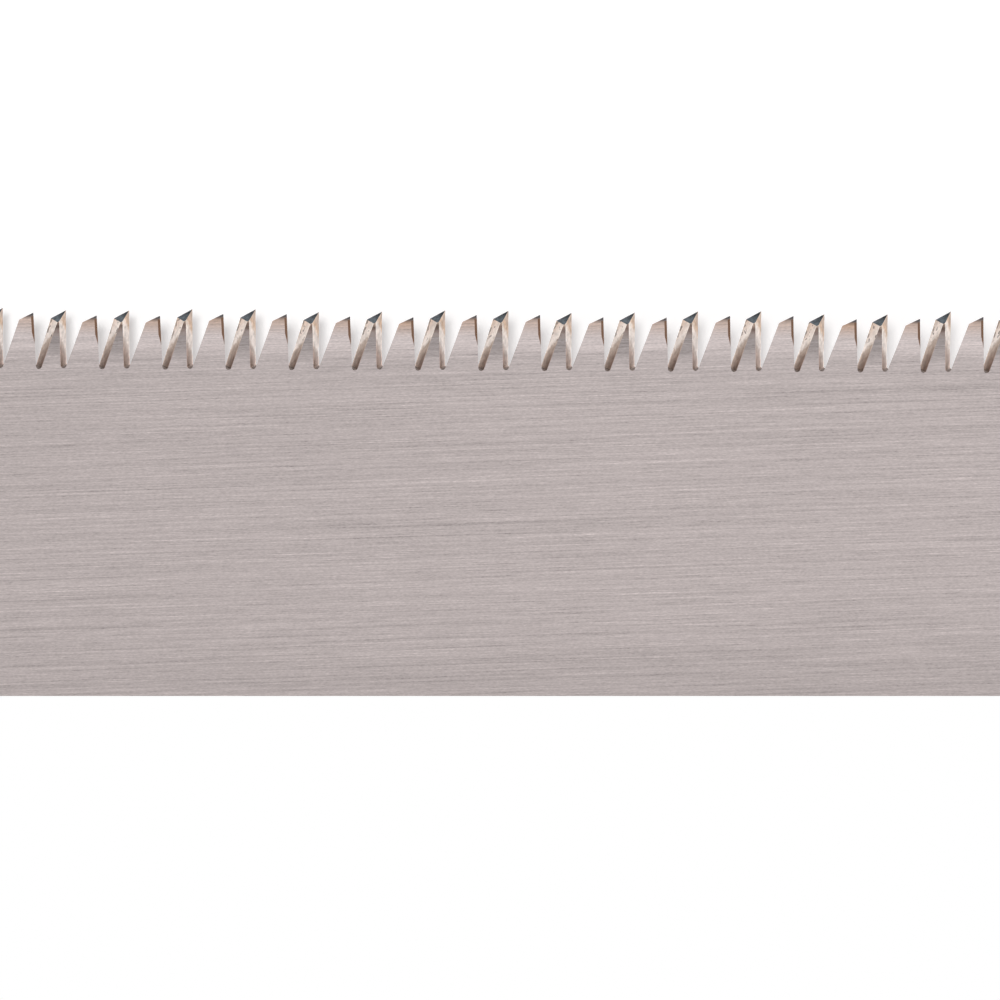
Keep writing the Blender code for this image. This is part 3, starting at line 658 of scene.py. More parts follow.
def ripCell(name, setSide):
    size, pitch = ripcut, ripcut["pitch"]
    back, rake = slope(size["back"]), slope(size["rake"])
    left, right = gulletSides((0, 0), (pitch, 0), size, size["back"], size["rake"])
    (startX, startOut), (endX, endOut) = left[-1], right[0]
    depth = (endX - startX + endOut * rake + startOut * back) / (back + rake)
    cell = ToothCell(name, depth, setSide)
    root = -depth - bladeSizes["rootDepth"]
    sides = []
    for reach in (0, 1):
        foot = cell.row([(0, root), *[(along, out - depth) for along, out in left]], reach)
        heel = cell.row([*[(along, out - depth) for along, out in right], (pitch, root)], reach)
        fold, rise = cell.fold, depth + cell.fold
        folds = cell.row([(startX + (rise - startOut) * back, fold), (endX - (rise - endOut) * rake, fold)], reach)
        tip = cell.point(endX - (depth - endOut) * rake, 0, reach)
        sides.append((foot, folds, tip, heel))
    (foot0, folds0, tip0, heel0), (foot1, folds1, tip1, heel1) = sides
    cell.face([*foot1, *folds1, *heel1][::-1], "flat")
    cell.face([folds1[0], tip1, folds1[1]][::-1], "flat")
    cell.face([*foot0, *folds0, *heel0], "flat")
    cell.face([folds0[0], tip0, folds0[1]], "flat")
    cell.walls(foot1[1:], foot0[1:], "backFloor")
    cell.walls([foot1[-1], folds1[0], tip1], [foot0[-1], folds0[0], tip0], "top")
    cell.walls([tip1, folds1[1], heel1[0]], [tip0, folds0[1], heel0[0]], "rake")
    cell.walls(heel1[:-1], heel0[:-1], "rakeFloor")
    ripcut["depth"] = depth
    return cell.source()


def toothRowTree():
    tree, given, out = newTree("toothRow", "Geometry", {
        "Even Tooth": "Object", "Odd Tooth": "Object", "Count": 10, "Pitch": 2 * mm, "First Pitch": 2 * mm,
        "Pitch Growth": 0.0, "Group": 4, "Group Step": 0.0, "Unevenness": 0.0, "Place": "Vector", "Turn": "Vector",
        "Seed": 1,
    }, {"Geometry": "Geometry"})
    wires = {"Count": given["Count"], "Offset": vector(given["Pitch"])}
    line = fromNode(tree, "GeometryNodeMeshLine", wires, mode="OFFSET")
    index = fromNode(tree, "GeometryNodeInputIndex")
    numbered = store(line, "tooth", index)
    odd = index % 2
    join = putNode(tree, "GeometryNodeJoinGeometry")
    for label, chosen in (("Odd Tooth", odd), ("Even Tooth", 1 - odd)):
        tooth = fromNode(tree, "GeometryNodeObjectInfo", {"Object": given[label]}, "Geometry")
        wires = {"Points": numbered, "Selection": chosen, "Instance": tooth}
        fromNode(tree, "GeometryNodeInstanceOnPoints", wires).to(join.inputs[0])
    number = stored(tree, "tooth")
    luck = fromNode(tree, "FunctionNodeRandomValue", {"ID": number, "Seed": given["Seed"]}, 1, data_type="FLOAT")
    lucky = store(Flow(join.outputs[0]), "luck", luck, "INSTANCE")
    real = fromNode(tree, "GeometryNodeRealizeInstances", {0: lucky})
    x, y, z = parts(fromNode(tree, "GeometryNodeInputPosition"))
    turn = x / given["Pitch"]  # tooth number, counted through the row
    growth = turn * given["Pitch Growth"]
    along = turn * (given["First Pitch"] + growth * 0.5)
    scale = (given["First Pitch"] + growth) / given["Pitch"]
    group = calc("FLOOR", (number + 0.5) / given["Group"])
    uneven = (stored(tree, "luck") - 0.5) * given["Unevenness"]
    drop = group % 2 * given["Group Step"] + uneven
    outward = y * scale - drop * stored(tree, "rise")
    shaped = moved(real, vector(along, outward, z))
    wires = {"Geometry": shaped, "Translation": given["Place"], "Rotation": given["Turn"]}
    fromNode(tree, "GeometryNodeTransform", wires).to(out["Geometry"])
    return tree


def edgePlace(side, along, out):
    taper = bladeSizes["taper"]
    x = bladeBox[0].x + bladeSizes["toeLand"] + along * math.cos(taper) + out * math.sin(taper)
    return x, side * (bladeSizes["toeWidth"] / 2 - along * math.sin(taper) + out * math.cos(taper))


def edgeAt(side, x, out):
    along = x - bladeBox[0].x - bladeSizes["toeLand"] - out * math.sin(bladeSizes["taper"])
    return edgePlace(side, along / math.cos(bladeSizes["taper"]), out)


def ripAlong(number):
    return number * ripcut["firstPitch"] + number * number * ripcut["growth"] / 2 - ripcut["floor"] / 2


def ripScale(number):
    return (ripcut["firstPitch"] + number * ripcut["growth"]) / ripcut["pitch"]


def plateMesh():
    size = bladeSizes
    heelX = bladeBox[0].x + size["toeLand"] + size["cutLength"] + size["heelLand"]
    toeX, tailEnd = bladeBox[0].x, bladeBox[1].x
    land = -crosscut["depth"]
    ripLand = -ripcut["depth"] * ripcut["firstPitch"] / ripcut["pitch"]
    upper, lower, walled = [], [], []

    def add(point, under=None, wall=True):  # wall says if a side wall runs on to the next point
        upper.append(point)
        lower.append(under or point)
        walled.append(wall)

    def heelLine(side):
        heel = edgeAt(side, heelX, land)
        neck = (heelX + size["shoulderRun"], side * size["tailWidth"] / 2)
        corner = (tailEnd, neck[1])
        mouth = (tailEnd, side * size["slotWidth"] / 2)
        before = edgeAt(side, heelX - size["heelLand"] / 2, land)
        line = fillet(before, heel, neck, size["shoulderRadius"]) + fillet(heel, neck, corner, size["neckRadius"])
        return line + fillet(neck, corner, mouth, size["tailRadius"]) + [mouth]

    def crosscutFoot(number, out):  # the bottom of a gullet on the upper and the lower face
        return [edgePlace(1, number * crosscut["pitch"] + sway, out) for sway in crosscut["sways"][number % 2]]

    def ripFoot(number, depth):
        return edgePlace(-1, ripAlong(number), -depth * ripScale(number))

    last = ripcut["count"]
    add(ripFoot(0, ripcut["depth"]), wall=False)
    for k in range(last + 1):
        add(ripFoot(k, ripcut["depth"] + size["rootDepth"]), wall=False)
    add(ripFoot(last, ripcut["depth"]))
    slot = arcPoints((middle("clamp_screw").x, 0), size["slotWidth"] / 2, 270, 90, size["slotSteps"])
    for point in (*heelLine(-1), *slot, *heelLine(1)[::-1]):
        add(point)
    add(*crosscutFoot(crosscut["count"], land), wall=False)
    for k in range(crosscut["count"], -1, -1):
        add(*crosscutFoot(k, land - size["rootDepth"]), wall=False)
    add(*crosscutFoot(0, land))
    toeTop, toeLow = edgeAt(1, toeX, land), edgeAt(-1, toeX, ripLand)
    toe = fillet(upper[-1], toeTop, toeLow, size["toeRadius"]) + fillet(toeTop, toeLow, upper[0], size["toeRadius"])
    for point in toe:
        add(point)
    work = bmesh.new()
    top = [work.verts.new((x, y, bladeMid + size["thickness"] / 2)) for x, y in upper]
    under = [work.verts.new((x, y, bladeMid - size["thickness"] / 2)) for x, y in lower]
    work.faces.new(top)
    work.faces.new(under[::-1])
    for i, wall in enumerate(walled):
        j = (i + 1) % len(top)
        if wall:
            work.faces.new([under[i], under[j], top[j], top[i]])
    return meshFrom(work, "plate")


def bladeTree(rowTree):
    tree, given, out = newTree("toothedBlade", "Geometry", {
        "Geometry": "Geometry", "Crosscut Even": "Object", "Crosscut Odd": "Object", "Rip Even": "Object",
        "Rip Odd": "Object", "Finish": "Material",
    }, {"Geometry": "Geometry"})
    join = putNode(tree, "GeometryNodeJoinGeometry", {0: given["Geometry"]})
    taper = bladeSizes["taper"]
    rows = (
        {
            "Even Tooth": given["Crosscut Even"], "Odd Tooth": given["Crosscut Odd"], "Count": crosscut["count"],
            "Pitch": crosscut["pitch"], "First Pitch": crosscut["pitch"], "Pitch Growth": 0.0,
            "Group": crosscut["group"], "Group Step": crosscut["groupStep"], "Unevenness": crosscut["unevenness"],
            "Place": (*edgePlace(1, 0, 0), bladeMid), "Turn": (0, 0, -taper), "Seed": crosscut["seed"],
        },
        {
            "Even Tooth": given["Rip Even"], "Odd Tooth": given["Rip Odd"], "Count": ripcut["count"],
            "Pitch": ripcut["pitch"], "First Pitch": ripcut["firstPitch"], "Pitch Growth": ripcut["growth"],
            "Group": 1, "Group Step": 0.0, "Place": (*edgePlace(-1, ripAlong(0), 0), bladeMid),
            "Turn": (math.pi, 0, taper), "Seed": ripcut["seed"],
        },
    )
    for wires in rows:
        fromNode(tree, "GeometryNodeGroup", wires, node_tree=rowTree).to(join.inputs[0])
    wires = {"Geometry": Flow(join.outputs[0]), "Distance": bladeSizes["weld"]}
    closeTree(fromNode(tree, "GeometryNodeMergeByDistance", wires), given, out)
    return tree


# Places up a tooth run from 0 in the gullet to 1 at its tip, and across it from 0 on the narrow face to 1 on the
# wide one. A span is (from, to) or (from, to, value before, value after).
bladeFinish = {
    "steel": (0.505, 0.446, 0.437, 1),
    "grain": 1.5,
    "plainGrain": 0.9,
    "scratches": 11,  # how far single lines stand out of the grain
    "scratchDark": 0.12,
    "lineLength": 1.7 * mm,
    "lineWidth": 0.047 * mm,
    "lineRough": (0.25, 0.75, 0.36, 0.46),
    "lineBump": (0.12, 0.02 * mm),
    "hollowShade": 0.17,  # painted shade: the blade's hollow ground middle is coloured darker
    "hollowStart": 25.3 * mm,
    "hollowFull": 13 * mm,
    "wideLight": 0.22,  # the set turns a tooth's wide face to the light and its narrow face away
    "wideUp": (0.15, 0.45),
    "narrowDark": 0.33,
    "narrowUp": (0.05, 0.5),
    "blue": (0.075, 0.087, 0.098, 1),
    "blueSheen": (0.35, 0.65, 0.75, 1.5),
    "blueUp": (0.87, 0.96, 1.0, 0.35),
    "blueTip": (0.09, 0.085, 0.09, 1),
    "blueTipUp": (0.855, 0.955),
    "ridgeTones": [
        (0.63, (0.335, 0.285, 0.27)), (0.69, (0.27, 0.21, 0.19)), (0.74, (0.205, 0.15, 0.13)),
        (0.80, (0.24, 0.17, 0.14)), (0.86, (0.60, 0.49, 0.41)),
    ],
    "ridgeUneven": (0.35, 0.65, -0.03, 0.03),
    "ridgeMarks": (0.3, 0.7, -0.4, 0.3),
    "ridgeMarksUp": (0.66, 0.75),
    "wedge": (0.17, 0.098, 0.066, 1),
    "straw": (0.395, 0.25, 0.165, 1),
    "strawUp": (0.55, 1.0),
    "strawLeast": 0.6,  # on the palest tooth
    "spotScale": 5500,
    "markScale": (3.2, 10, 90),  # of the file's marks across, up and from tooth to tooth
    "marks": (0.3, 0.7, 0.8, 1.18),
    "narrowGlintAcross": (0.05, 0.1, 1, 0),  # painted highlight: a bright edge on the narrow side
    "narrowGlintUp": (0.3, 0.6, 0.5, 0.15),
    "wideGlintAcross": (0.86, 0.94),  # and a painted highlight along the edge on the wide side
    "wideGlintUp": (0.2, 0.4, 0.7, 0),
    "pit": (0.10, 0.085, 0.08, 1),
    "pitDark": 0.75,
    "pitMarks": (0.6, 0.66),
    "pitUp": (0.4, 0.6),
    "pitStart": (0.7, 0.88),  # more of them across the bevel from here
    "pitEnd": (0.93, 1.0, 0.13, 0),  # to here
    "backFloor": (0.17, 0.134, 0.117, 1),
    "rakeFloor": (0.15, 0.115, 0.101, 1),
    "floorUp": (0.005, 0.045),
    "rakeFoot": (0.06, 0.125, 1.12, 1),  # painted light: a little brighter just above the gullet
    "slant": 0.3,  # the dark foot of a bevel reaches higher on the narrow face than on the wide one
    "slantUneven": (0.3, 0.7, -0.04, 0.04),
    "slantLuck": (0, 1, -0.06, 0.06),
    # tones up either bevel: heat tint, with a pale painted highlight across the middle of the bevel
    "backTones": [
        (0.0, (0.29, 0.226, 0.195)), (0.15, (0.34, 0.268, 0.231)), (0.42, (0.44, 0.36, 0.31)),
        (0.52, (0.73, 0.66, 0.615)), (0.61, (0.75, 0.68, 0.635)), (0.78, (0.67, 0.57, 0.51)),
        (0.95, (0.65, 0.51, 0.42)),
    ],
    "rakeTones": [
        (0.0, (0.52, 0.415, 0.36)), (0.2, (0.557, 0.446, 0.40)), (0.36, (0.64, 0.56, 0.515)),
        (0.46, (0.875, 0.81, 0.77)), (0.68, (0.845, 0.772, 0.72)), (0.83, (0.63, 0.465, 0.345)),
        (0.95, (0.60, 0.48, 0.405)),
    ],
}


def bladeSteel():
    made, tree, shader = newFinish("groundSteel", metallic=1.0)
    look = bladeFinish
    place = objectPlace(tree)
    brush = useGroup(brushLines, Vector=place, Length=look["lineLength"], Width=look["lineWidth"])
    rise, facet, reach, luck = [readAttribute(tree, name) for name in ("rise", "facet", "reach", "luck")]

    def onFacet(code, colour, under):
        return mixColour(calc("COMPARE", facet, ToothCell.codes[code], 0.1), under, colour)

    def up(span):
        return spread(rise, *look[span])

    def across(span):
        return spread(reach, *look[span])

    # ground flat, with straw and blue towards the tips
    off = brush["Streak"] - 0.5
    sharp = off * off * look["scratches"] + look["plainGrain"]
    grain = off * sharp * look["grain"] + 1 - brush["Scratch"] * look["scratchDark"]
    # painted shade: darker towards the hollow ground middle; from here grain also carries the painted light and shade
    # of the wide and narrow faces
    hollow = spread(abs(parts(place)[1]), look["hollowFull"], look["hollowStart"], 1 - look["hollowShade"], 1)
    light = up("wideUp") * reach * look["wideLight"]
    dark = up("narrowUp") * (1 - reach) * look["narrowDark"]
    grain = grain * hollow * (light + 1 - dark)
    straw = up("strawUp") * spread(luck, 0, 1, look["strawLeast"], 1.0) * reach
    colour = mixColour(straw, tint(look["steel"], grain), tint(look["straw"], grain))
    colour = mixColour(up("blueTipUp") * reach, colour, look["blueTip"])

    # filed bevels and the gullets' floors
    uneven = noise(place, look["spotScale"])
    markAcross, markUp, markLuck = look["markScale"]
    marks = noise(vector(reach * markAcross, rise * markUp, luck * markLuck), 1, 3)
    slant = rise + (reach - 0.5) * look["slant"]
    slant = slant + evenly(uneven, *look["slantUneven"]) + evenly(luck, *look["slantLuck"])
    # painted highlights along both edges of a bevel, laid on the file marks
    rim = across("narrowGlintAcross") * up("narrowGlintUp")
    wideGlint = across("wideGlintAcross") * up("wideGlintUp")
    cut = evenly(marks, *look["marks"]) * (rim + wideGlint + 1)
    # painted highlight: the bevel tones turn pale across their middle
    back = tint(colourRamp(slant, look["backTones"]), cut)
    rake = tint(colourRamp(slant, look["rakeTones"]), cut)
    # painted light just above the gullet
    rake = tint(rake, up("rakeFoot"))
    pitted = marks + across("pitStart") * across("pitEnd")
    pits = spread(pitted, *look["pitMarks"]) * up("pitUp")
    back = mixColour(pits * look["pitDark"], back, look["pit"])
    colour = onFacet("back", back, colour)
    colour = onFacet("rake", rake, colour)
    aboveFloor = up("floorUp")
    for floor, strip in (("backFloor", back), ("rakeFloor", rake)):
        colour = onFacet(floor, mixColour(aboveFloor, look[floor], strip), colour)

    # third facet, scorched ridge and the thin bevel beside the tip
    sheen = evenly(uneven, *look["blueSheen"]) * up("blueUp")
    colour = onFacet("top", tint(look["blue"], sheen), colour)
    scorched = colourRamp(rise + evenly(uneven, *look["ridgeUneven"]), look["ridgeTones"])
    patches = spread(marks, *look["ridgeMarks"]) * up("ridgeMarksUp") + 1
    colour = onFacet("ridge", tint(scorched, patches), colour)
    colour = onFacet("wedge", look["wedge"], colour)
    rough = evenly(brush["Streak"], *look["lineRough"])
    wireFinish(shader, colour, rough, brush["Streak"], look["lineBump"])
    return made


teeth = {
    "Crosscut Even": crosscutCell("even", -1, **evenTooth),
    "Crosscut Odd": crosscutCell("odd", 1),
    "Rip Even": ripCell("ripEven", -1),
    "Rip Odd": ripCell("ripOdd", 1),
}
blade = newObject("toothedBlade", plateMesh())
growNodes(blade, bladeTree(toothRowTree()), {**teeth, "Finish": bladeSteel()})
for tooth in teeth.values():
    bpy.data.objects.remove(tooth)
handOver(blade, None, "blade", "blade_steel", "saw_blade")
print("blade:", len(blade.data.polygons), "faces,", crosscut["count"], "crosscut and", ripcut["count"], "rip teeth")


# Finishes of the clamp and the handle

metals = {
    "satinNickel": {"colour": (0.58, 0.57, 0.55), "rough": 0.26, "lineWidth": 0.07 * mm, "dirt": 0.22},
    "millScale": {"colour": (0.13, 0.13, 0.135), "rough": 0.48, "lineWidth": 0.3 * mm, "dirt": 0.5},
    "drawnSteel": {
        "colour": (0.5, 0.49, 0.47), "rough": 0.22, "lineWidth": 0.08 * mm, "dirt": 0.25, "turned": "saw",
    },
    "turnedNickel": {
        "colour": (0.58, 0.57, 0.55), "rough": 0.24, "lineWidth": 0.06 * mm, "dirt": 0.2, "turned": "screw",
    },
    "turnedBrass": {
        "colour": (0.72, 0.52, 0.22), "rough": 0.24, "lineWidth": 0.07 * mm, "dirt": 0.3, "turned": "screw",
    },
}
metalLook = {
    "lineLength": 30,  # times the width
    "roundRadius": 8 * mm,  # at which tool marks that run round have their true length
    "lineLevels": (0.25, 0.75, 0.86, 1.12),
    "lineBump": (0.16, 0.02 * mm),
    "scratchDark": 0.16,
    "stainSize": 9 * mm,
    "stainRough": 0.14,
    # darker in the valleys of the screw's ridges and thread, by their depth
    "valleyDark": 0.75,
    "darkLevel": 0.3,
}
woodLook = {
    "pith": (-11 * mm, -34 * mm),  # it lies outside the handle
    "warpScale": 24,
    "warp": 5 * mm,
    "ring": 2.3 * mm,
    "lateSpan": (0.45, 0.98),
    "lateShare": 0.55,
    "fibreLength": 9 * mm,
    "fibreWidth": 0.22 * mm,
    "fibreShare": 0.7,
    "tones": [(0.15, (0.60, 0.42, 0.235)), (0.55, (0.50, 0.325, 0.165)), (0.95, (0.33, 0.19, 0.085))],
    "stain": (0.30, 0.18, 0.085, 1),
    "stainSize": 30 * mm,
    "stainShare": 0.35,
    "stainRough": (0, 1, 0.42, 0.58),
    "pore": (0.16, 0.085, 0.04, 1),
    "poreShare": 0.55,
    "poreDepth": 0.8,
    "bump": (0.25, 0.08 * mm),
}
caneLook = {
    "coat": {"Coat Weight": 0.35, "Coat Roughness": 0.22},
    "fibreAcross": 2 * mm,
    "fibreLength": 6 * mm,
    "fibreWidth": 0.16 * mm,
    "fibreShare": 0.6,
    "fibreRough": (0.3, 0.7, 0.34, 0.48),
    "fibreHeight": 0.5,
    "stainAcross": 6 * mm,
    "stainSize": 55 * mm,
    "stainShare": 0.45,
    "tones": [(0.2, (0.70, 0.50, 0.24)), (0.48, (0.60, 0.40, 0.165)), (0.82, (0.42, 0.245, 0.08))],
    "knotEvery": 0.235,  # metres along the cane
    "knotShift": 0.57,  # from one cane to the other
    "knotRing": (0.002, 0.006, 1, 0),
    "knotShade": (0.004, 0.03, 0.4, 0),
    "shadeColour": (0.34, 0.2, 0.075, 1),
    "ringColour": (0.15, 0.08, 0.03, 1),
    "ringShare": 0.8,
    "ringHeight": 1.5,
    "flank": (0.72, 1.0, 0, 0.75),
    "flankColour": (0.20, 0.11, 0.04, 1),
    "bump": (0.3, 0.1 * mm),
}
screwPlace = middle("clamp_screw")


def metalFinish(name, colour, rough, lineWidth, dirt, turned=None):
    made, tree, shader = newFinish(name, metallic=1.0)
    look = metalLook
    place = lines = objectPlace(tree)
    if turned:  # tool marks run round an axis: X of the saw or the screw's own
        x, y, z = parts(place)
        aside, rise, along = (y, z - bladeMid, x) if turned == "saw" else (x - screwPlace.x, y, z)
        radius = calc("SQRT", aside ** 2 + rise ** 2)
        lines = vector(calc("ARCTAN2", rise, aside) * look["roundRadius"], along + radius)
    brush = useGroup(brushLines, Vector=lines, Length=look["lineLength"] * lineWidth, Width=lineWidth)
    stain = useGroup(smudges, Vector=place, Size=look["stainSize"])["Smudge"]
    level = evenly(brush["Streak"], *look["lineLevels"]) - brush["Scratch"] * look["scratchDark"]
    # darker where smudged, and in the valleys of the ridges and thread by their depth
    darkening = calc("MAXIMUM", stain * dirt, readAttribute(tree, "hollow") * look["valleyDark"])
    dull = [look["darkLevel"] * c for c in colour]
    darkened = mixColour(darkening, tint((*colour, 1), level), (*dull, 1))
    wireFinish(shader, darkened, stain * look["stainRough"] + rough, brush["Streak"], look["lineBump"])
    return made


def woodFinish():
    made, tree, shader = newFinish("oiledWood")
    look = woodLook
    place = objectPlace(tree)
    y, z = parts(place)[1:]
    distance = calc("SQRT", (y - look["pith"][0]) ** 2 + (z - look["pith"][1]) ** 2)
    distance = distance + noise(place, look["warpScale"]) * look["warp"]
    late = spread(calc("FRACT", distance / look["ring"]), *look["lateSpan"])
    fibre = useGroup(brushLines, Vector=place, Length=look["fibreLength"], Width=look["fibreWidth"])
    stain = useGroup(smudges, Vector=place, Size=look["stainSize"])["Smudge"]
    colour = colourRamp(late * look["lateShare"] + fibre["Streak"] * look["fibreShare"], look["tones"])
    colour = mixColour(stain * look["stainShare"], colour, look["stain"])
    colour = mixColour(fibre["Scratch"] * look["poreShare"], colour, look["pore"])
    height = fibre["Streak"] - fibre["Scratch"] * look["poreDepth"]
    wireFinish(shader, colour, spread(stain, *look["stainRough"]), height, look["bump"])
    return made


def caneFinish():
    look = caneLook
    made, tree, shader = newFinish("splitCane", **look["coat"])
    along, across, luck = [readAttribute(tree, name) for name in ("along", "across", "luck")]
    skin = vector(along, across * look["fibreAcross"], luck)
    fibre = useGroup(brushLines, Vector=skin, Length=look["fibreLength"], Width=look["fibreWidth"])["Streak"]
    patch = vector(along, across * look["stainAcross"], luck)
    stain = useGroup(smudges, Vector=patch, Size=look["stainSize"])["Smudge"]
    colour = colourRamp(fibre * look["fibreShare"] + stain * look["stainShare"], look["tones"])
    knot = calc("FRACT", along / look["knotEvery"] + luck * look["knotShift"])
    away = abs(knot - 0.5)  # 0 at a knot of the cane
    ring = spread(away, *look["knotRing"])
    colour = mixColour(spread(away, *look["knotShade"]), colour, look["shadeColour"])
    colour = mixColour(ring * look["ringShare"], colour, look["ringColour"])
    colour = mixColour(spread(abs(across), *look["flank"]), colour, look["flankColour"])
    height = fibre * look["fibreHeight"] + ring * look["ringHeight"]
    wireFinish(shader, colour, spread(fibre, *look["fibreRough"]), height, look["bump"])
    return made


nickel, millScale, drawnSteel, turnedNickel, brass = [metalFinish(name, **look) for name, look in metals.items()]
wood, cane = woodFinish(), caneFinish()


# Clamp: two cheeks, the tang bar between their rear ends, and two rivets

clampSizes = {
    "thickness": 1.5 * mm,
    "rearWidth": 20 * mm,
    "gripLength": 36 * mm,
    "joggleRun": 6 * mm,
    "narrowRun": 9 * mm,
    "radius": 5 * mm,
    "rearRadius": 0.6 * mm,
    "edge": 0.35 * mm,
    "bladeGap": 0.1 * mm,
    "screwHole": 2.65 * mm,
    "rivetHole": 2.15 * mm,
    "joggleCuts": 8,
}
tangSizes = {"frontRadius": 0.5 * mm, "radius": 3 * mm, "edge": 0.4 * mm, "pinHole": 1.65 * mm}
rivetSizes = {"shank": 2 * mm, "headHeight": 1.7 * mm, "rim": 0.25 * mm, "sides": 48}
rivetPlaces = [middle(name) for name in ("front_rivet", "rear_rivet")]
pinPlaces = [middle(name) for name in ("front_tang_pin", "rear_tang_pin")]


def cheekPiece(node, side):
    size = clampSizes
    low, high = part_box(node)
    half, rear, radius = high.y, size["rearWidth"] / 2, size["radius"]
    joggleX = low.x + size["gripLength"]
    narrowX = joggleX + size["joggleRun"] + size["narrowRun"]
    right = [(low.x, -half, radius), (joggleX, -half, radius), (narrowX, -rear, radius)]
    right.append((high.x, -rear, size["rearRadius"]))
    outline = roundedLine(right + [(x, -y, r) for x, y, r in right[::-1]])
    holes = [holeAt(screwPlace.x, size["screwHole"])] + [holeAt(p.x, size["rivetHole"]) for p in rivetPlaces]
    face = bladeSizes["thickness"] / 2 + size["bladeGap"]
    step = high.z - low.z - size["thickness"]
    work = plateWork([outline, *holes], face, face + size["thickness"], size["edge"])
    for i in range(size["joggleCuts"] + 1):
        x = joggleX + size["joggleRun"] * i / size["joggleCuts"]
        whole = [*work.verts, *work.edges, *work.faces]
        bmesh.ops.bisect_plane(work, geom=whole, dist=hair, plane_co=(x, 0, 0), plane_no=(1, 0, 0))
    for vert in work.verts:
        share = min(max((vert.co.x - joggleX) / size["joggleRun"], 0), 1)
        vert.co.z = bladeMid + side * (vert.co.z + (3 - 2 * share) * share * share * step)
    if side < 0:
        bmesh.ops.reverse_faces(work, faces=work.faces)
    piece = smoothShade(objectFrom(work, plainName(node)), 30)
    return handOver(piece, nickel, "handle", "clamp_steel", node)


def tangPiece():
    size = tangSizes
    low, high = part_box("tang_bar")
    outline = roundedLine([
        (low.x, low.y, size["frontRadius"]), (high.x, low.y, size["radius"]), (high.x, high.y, size["radius"]),
        (low.x, high.y, size["frontRadius"]),
    ])
    holes = [holeAt(p.x, clampSizes["rivetHole"]) for p in rivetPlaces]
    holes += [holeAt(p.x, size["pinHole"]) for p in pinPlaces]
    work = plateWork([outline, *holes], low.z, high.z, size["edge"])
    piece = smoothShade(objectFrom(work, "tangBar"), 30)
    return handOver(piece, millScale, "handle", "tang_steel", "tang_bar")


def rivetPiece(node):
    size = rivetSizes
    low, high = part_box(node)
    head = domeLine(high.y, size["headHeight"], high.z - size["headHeight"], size["rim"])
    under = [(radius, low.z + high.z - height) for radius, height in head[::-1]]
    profile = [*head, (size["shank"], head[-1][1]), (size["shank"], under[0][1]), *under]
    return turnedPiece(node, profile, size["sides"], 40, nickel, "clamp_steel")


cheekPiece("upper_clamp_cheek", 1)
cheekPiece("lower_clamp_cheek", -1)
tangPiece()
for rivetNode in ("front_rivet", "rear_rivet"):
    rivetPiece(rivetNode)
print("clamp: cheeks, tang bar and rivets")


# Clamp screw, washer and nut

screwSizes = {
    "shank": 2.5 * mm,
    "headHeight": 4.5 * mm,
    "ridges": 20,
    "ridgeDepth": 0.5 * mm,
    "topChamfer": 0.7 * mm,
    "footChamfer": 0.4 * mm,
    "slotWidth": 1.6 * mm,
    "slotDepth": 2 * mm,
    "slotChamfer": 0.2 * mm,
    "sides": 240,
    # rows of points up the head, in millimetres
    "rows": (0, 0.1, 0.2, 0.3, 0.4, 0.7, 1.1, 1.6, 2.1, 2.6, 3.1, 3.5, 3.8, 3.95, 4.1, 4.25, 4.4, 4.5),
    "threadPitch": 0.8 * mm,
    "threadDepth": 0.42 * mm,
    "threadFlank": 1.35,
    "threadCrest": 0.15,
    "threadRows": 10,  # in a turn
    "threadSides": 32,
    "endTaper": 0.6 * mm,
    "inHead": 0.4 * mm,  # by which the shank goes into the head
}
washerSizes = {"hole": 2.65 * mm, "edge": 0.25 * mm, "edgeSteps": 4, "sides": 72}
nutSizes = {
    "flats": 8 * mm,
    "hole": 2.65 * mm,
    "holeSides": 40,
    "endShare": 0.97,  # radius of the turned ends, in halves of the flats
    "endSlope": 1.8,
    "rows": 24,
    "sides": 96,
}


def screwPiece():
    size = screwSizes
    low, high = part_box("clamp_screw")
    foot = high.z - size["headHeight"]
    outer = (high.x - low.x) / 2

    def headRadius(turn, height):
        depth = 0.5 - 0.5 * math.cos(size["ridges"] * turn)
        top = outer - max(height - high.z + size["topChamfer"], 0)
        bottom = outer - max(foot + size["footChamfer"] - height, 0)
        return min(outer - size["ridgeDepth"] * depth, top, bottom), depth * depth

    def threadRadius(turn, height):
        phase = (height - low.z) / size["threadPitch"] - turn / fullTurn
        valley = abs(2 * (phase % 1) - 1)
        depth = min(max(size["threadFlank"] * valley - size["threadCrest"], 0), 1)
        taper = max(low.z + size["endTaper"] - height, 0)
        return min(size["shank"] - size["threadDepth"] * depth, size["shank"] - taper), depth

    head = objectFrom(gridWork([foot + row * mm for row in size["rows"]], size["sides"], headRadius), "clampScrew")
    half, chamfer, deep = size["slotWidth"] / 2, size["slotChamfer"], size["slotDepth"]
    section = [(half, -deep), (half, -chamfer), (half + 2 * chamfer, chamfer), (half + 2 * chamfer, mm)]
    section = [(-half, -deep), *section, *[(-y, z) for y, z in section[:0:-1]]]
    work = bmesh.new()
    ends = [[work.verts.new((x, y, high.z + z)) for y, z in section] for x in (-2 * outer, 2 * outer)]
    for i in range(len(section)):
        work.faces.new([ends[0][i - 1], ends[1][i - 1], ends[1][i], ends[0][i]])
    work.faces.new(ends[0])
    work.faces.new(ends[1][::-1])
    cutOut(head, [objectFrom(turnOutwards(work), "slot")])

    length = foot + size["inHead"] - low.z
    rows = round(length / size["threadPitch"] * size["threadRows"])
    heights = [low.z + length * i / rows for i in range(rows + 1)]
    shank = meshFrom(gridWork(heights, size["threadSides"], threadRadius), "shank")
    whole = bmesh.new()
    whole.from_mesh(head.data)
    whole.from_mesh(shank)
    whole.to_mesh(head.data)
    whole.free()
    shiftMesh(head.data, screwPlace.x)
    return handOver(smoothShade(head, 30), brass, "screw", "screw_brass", "clamp_screw")


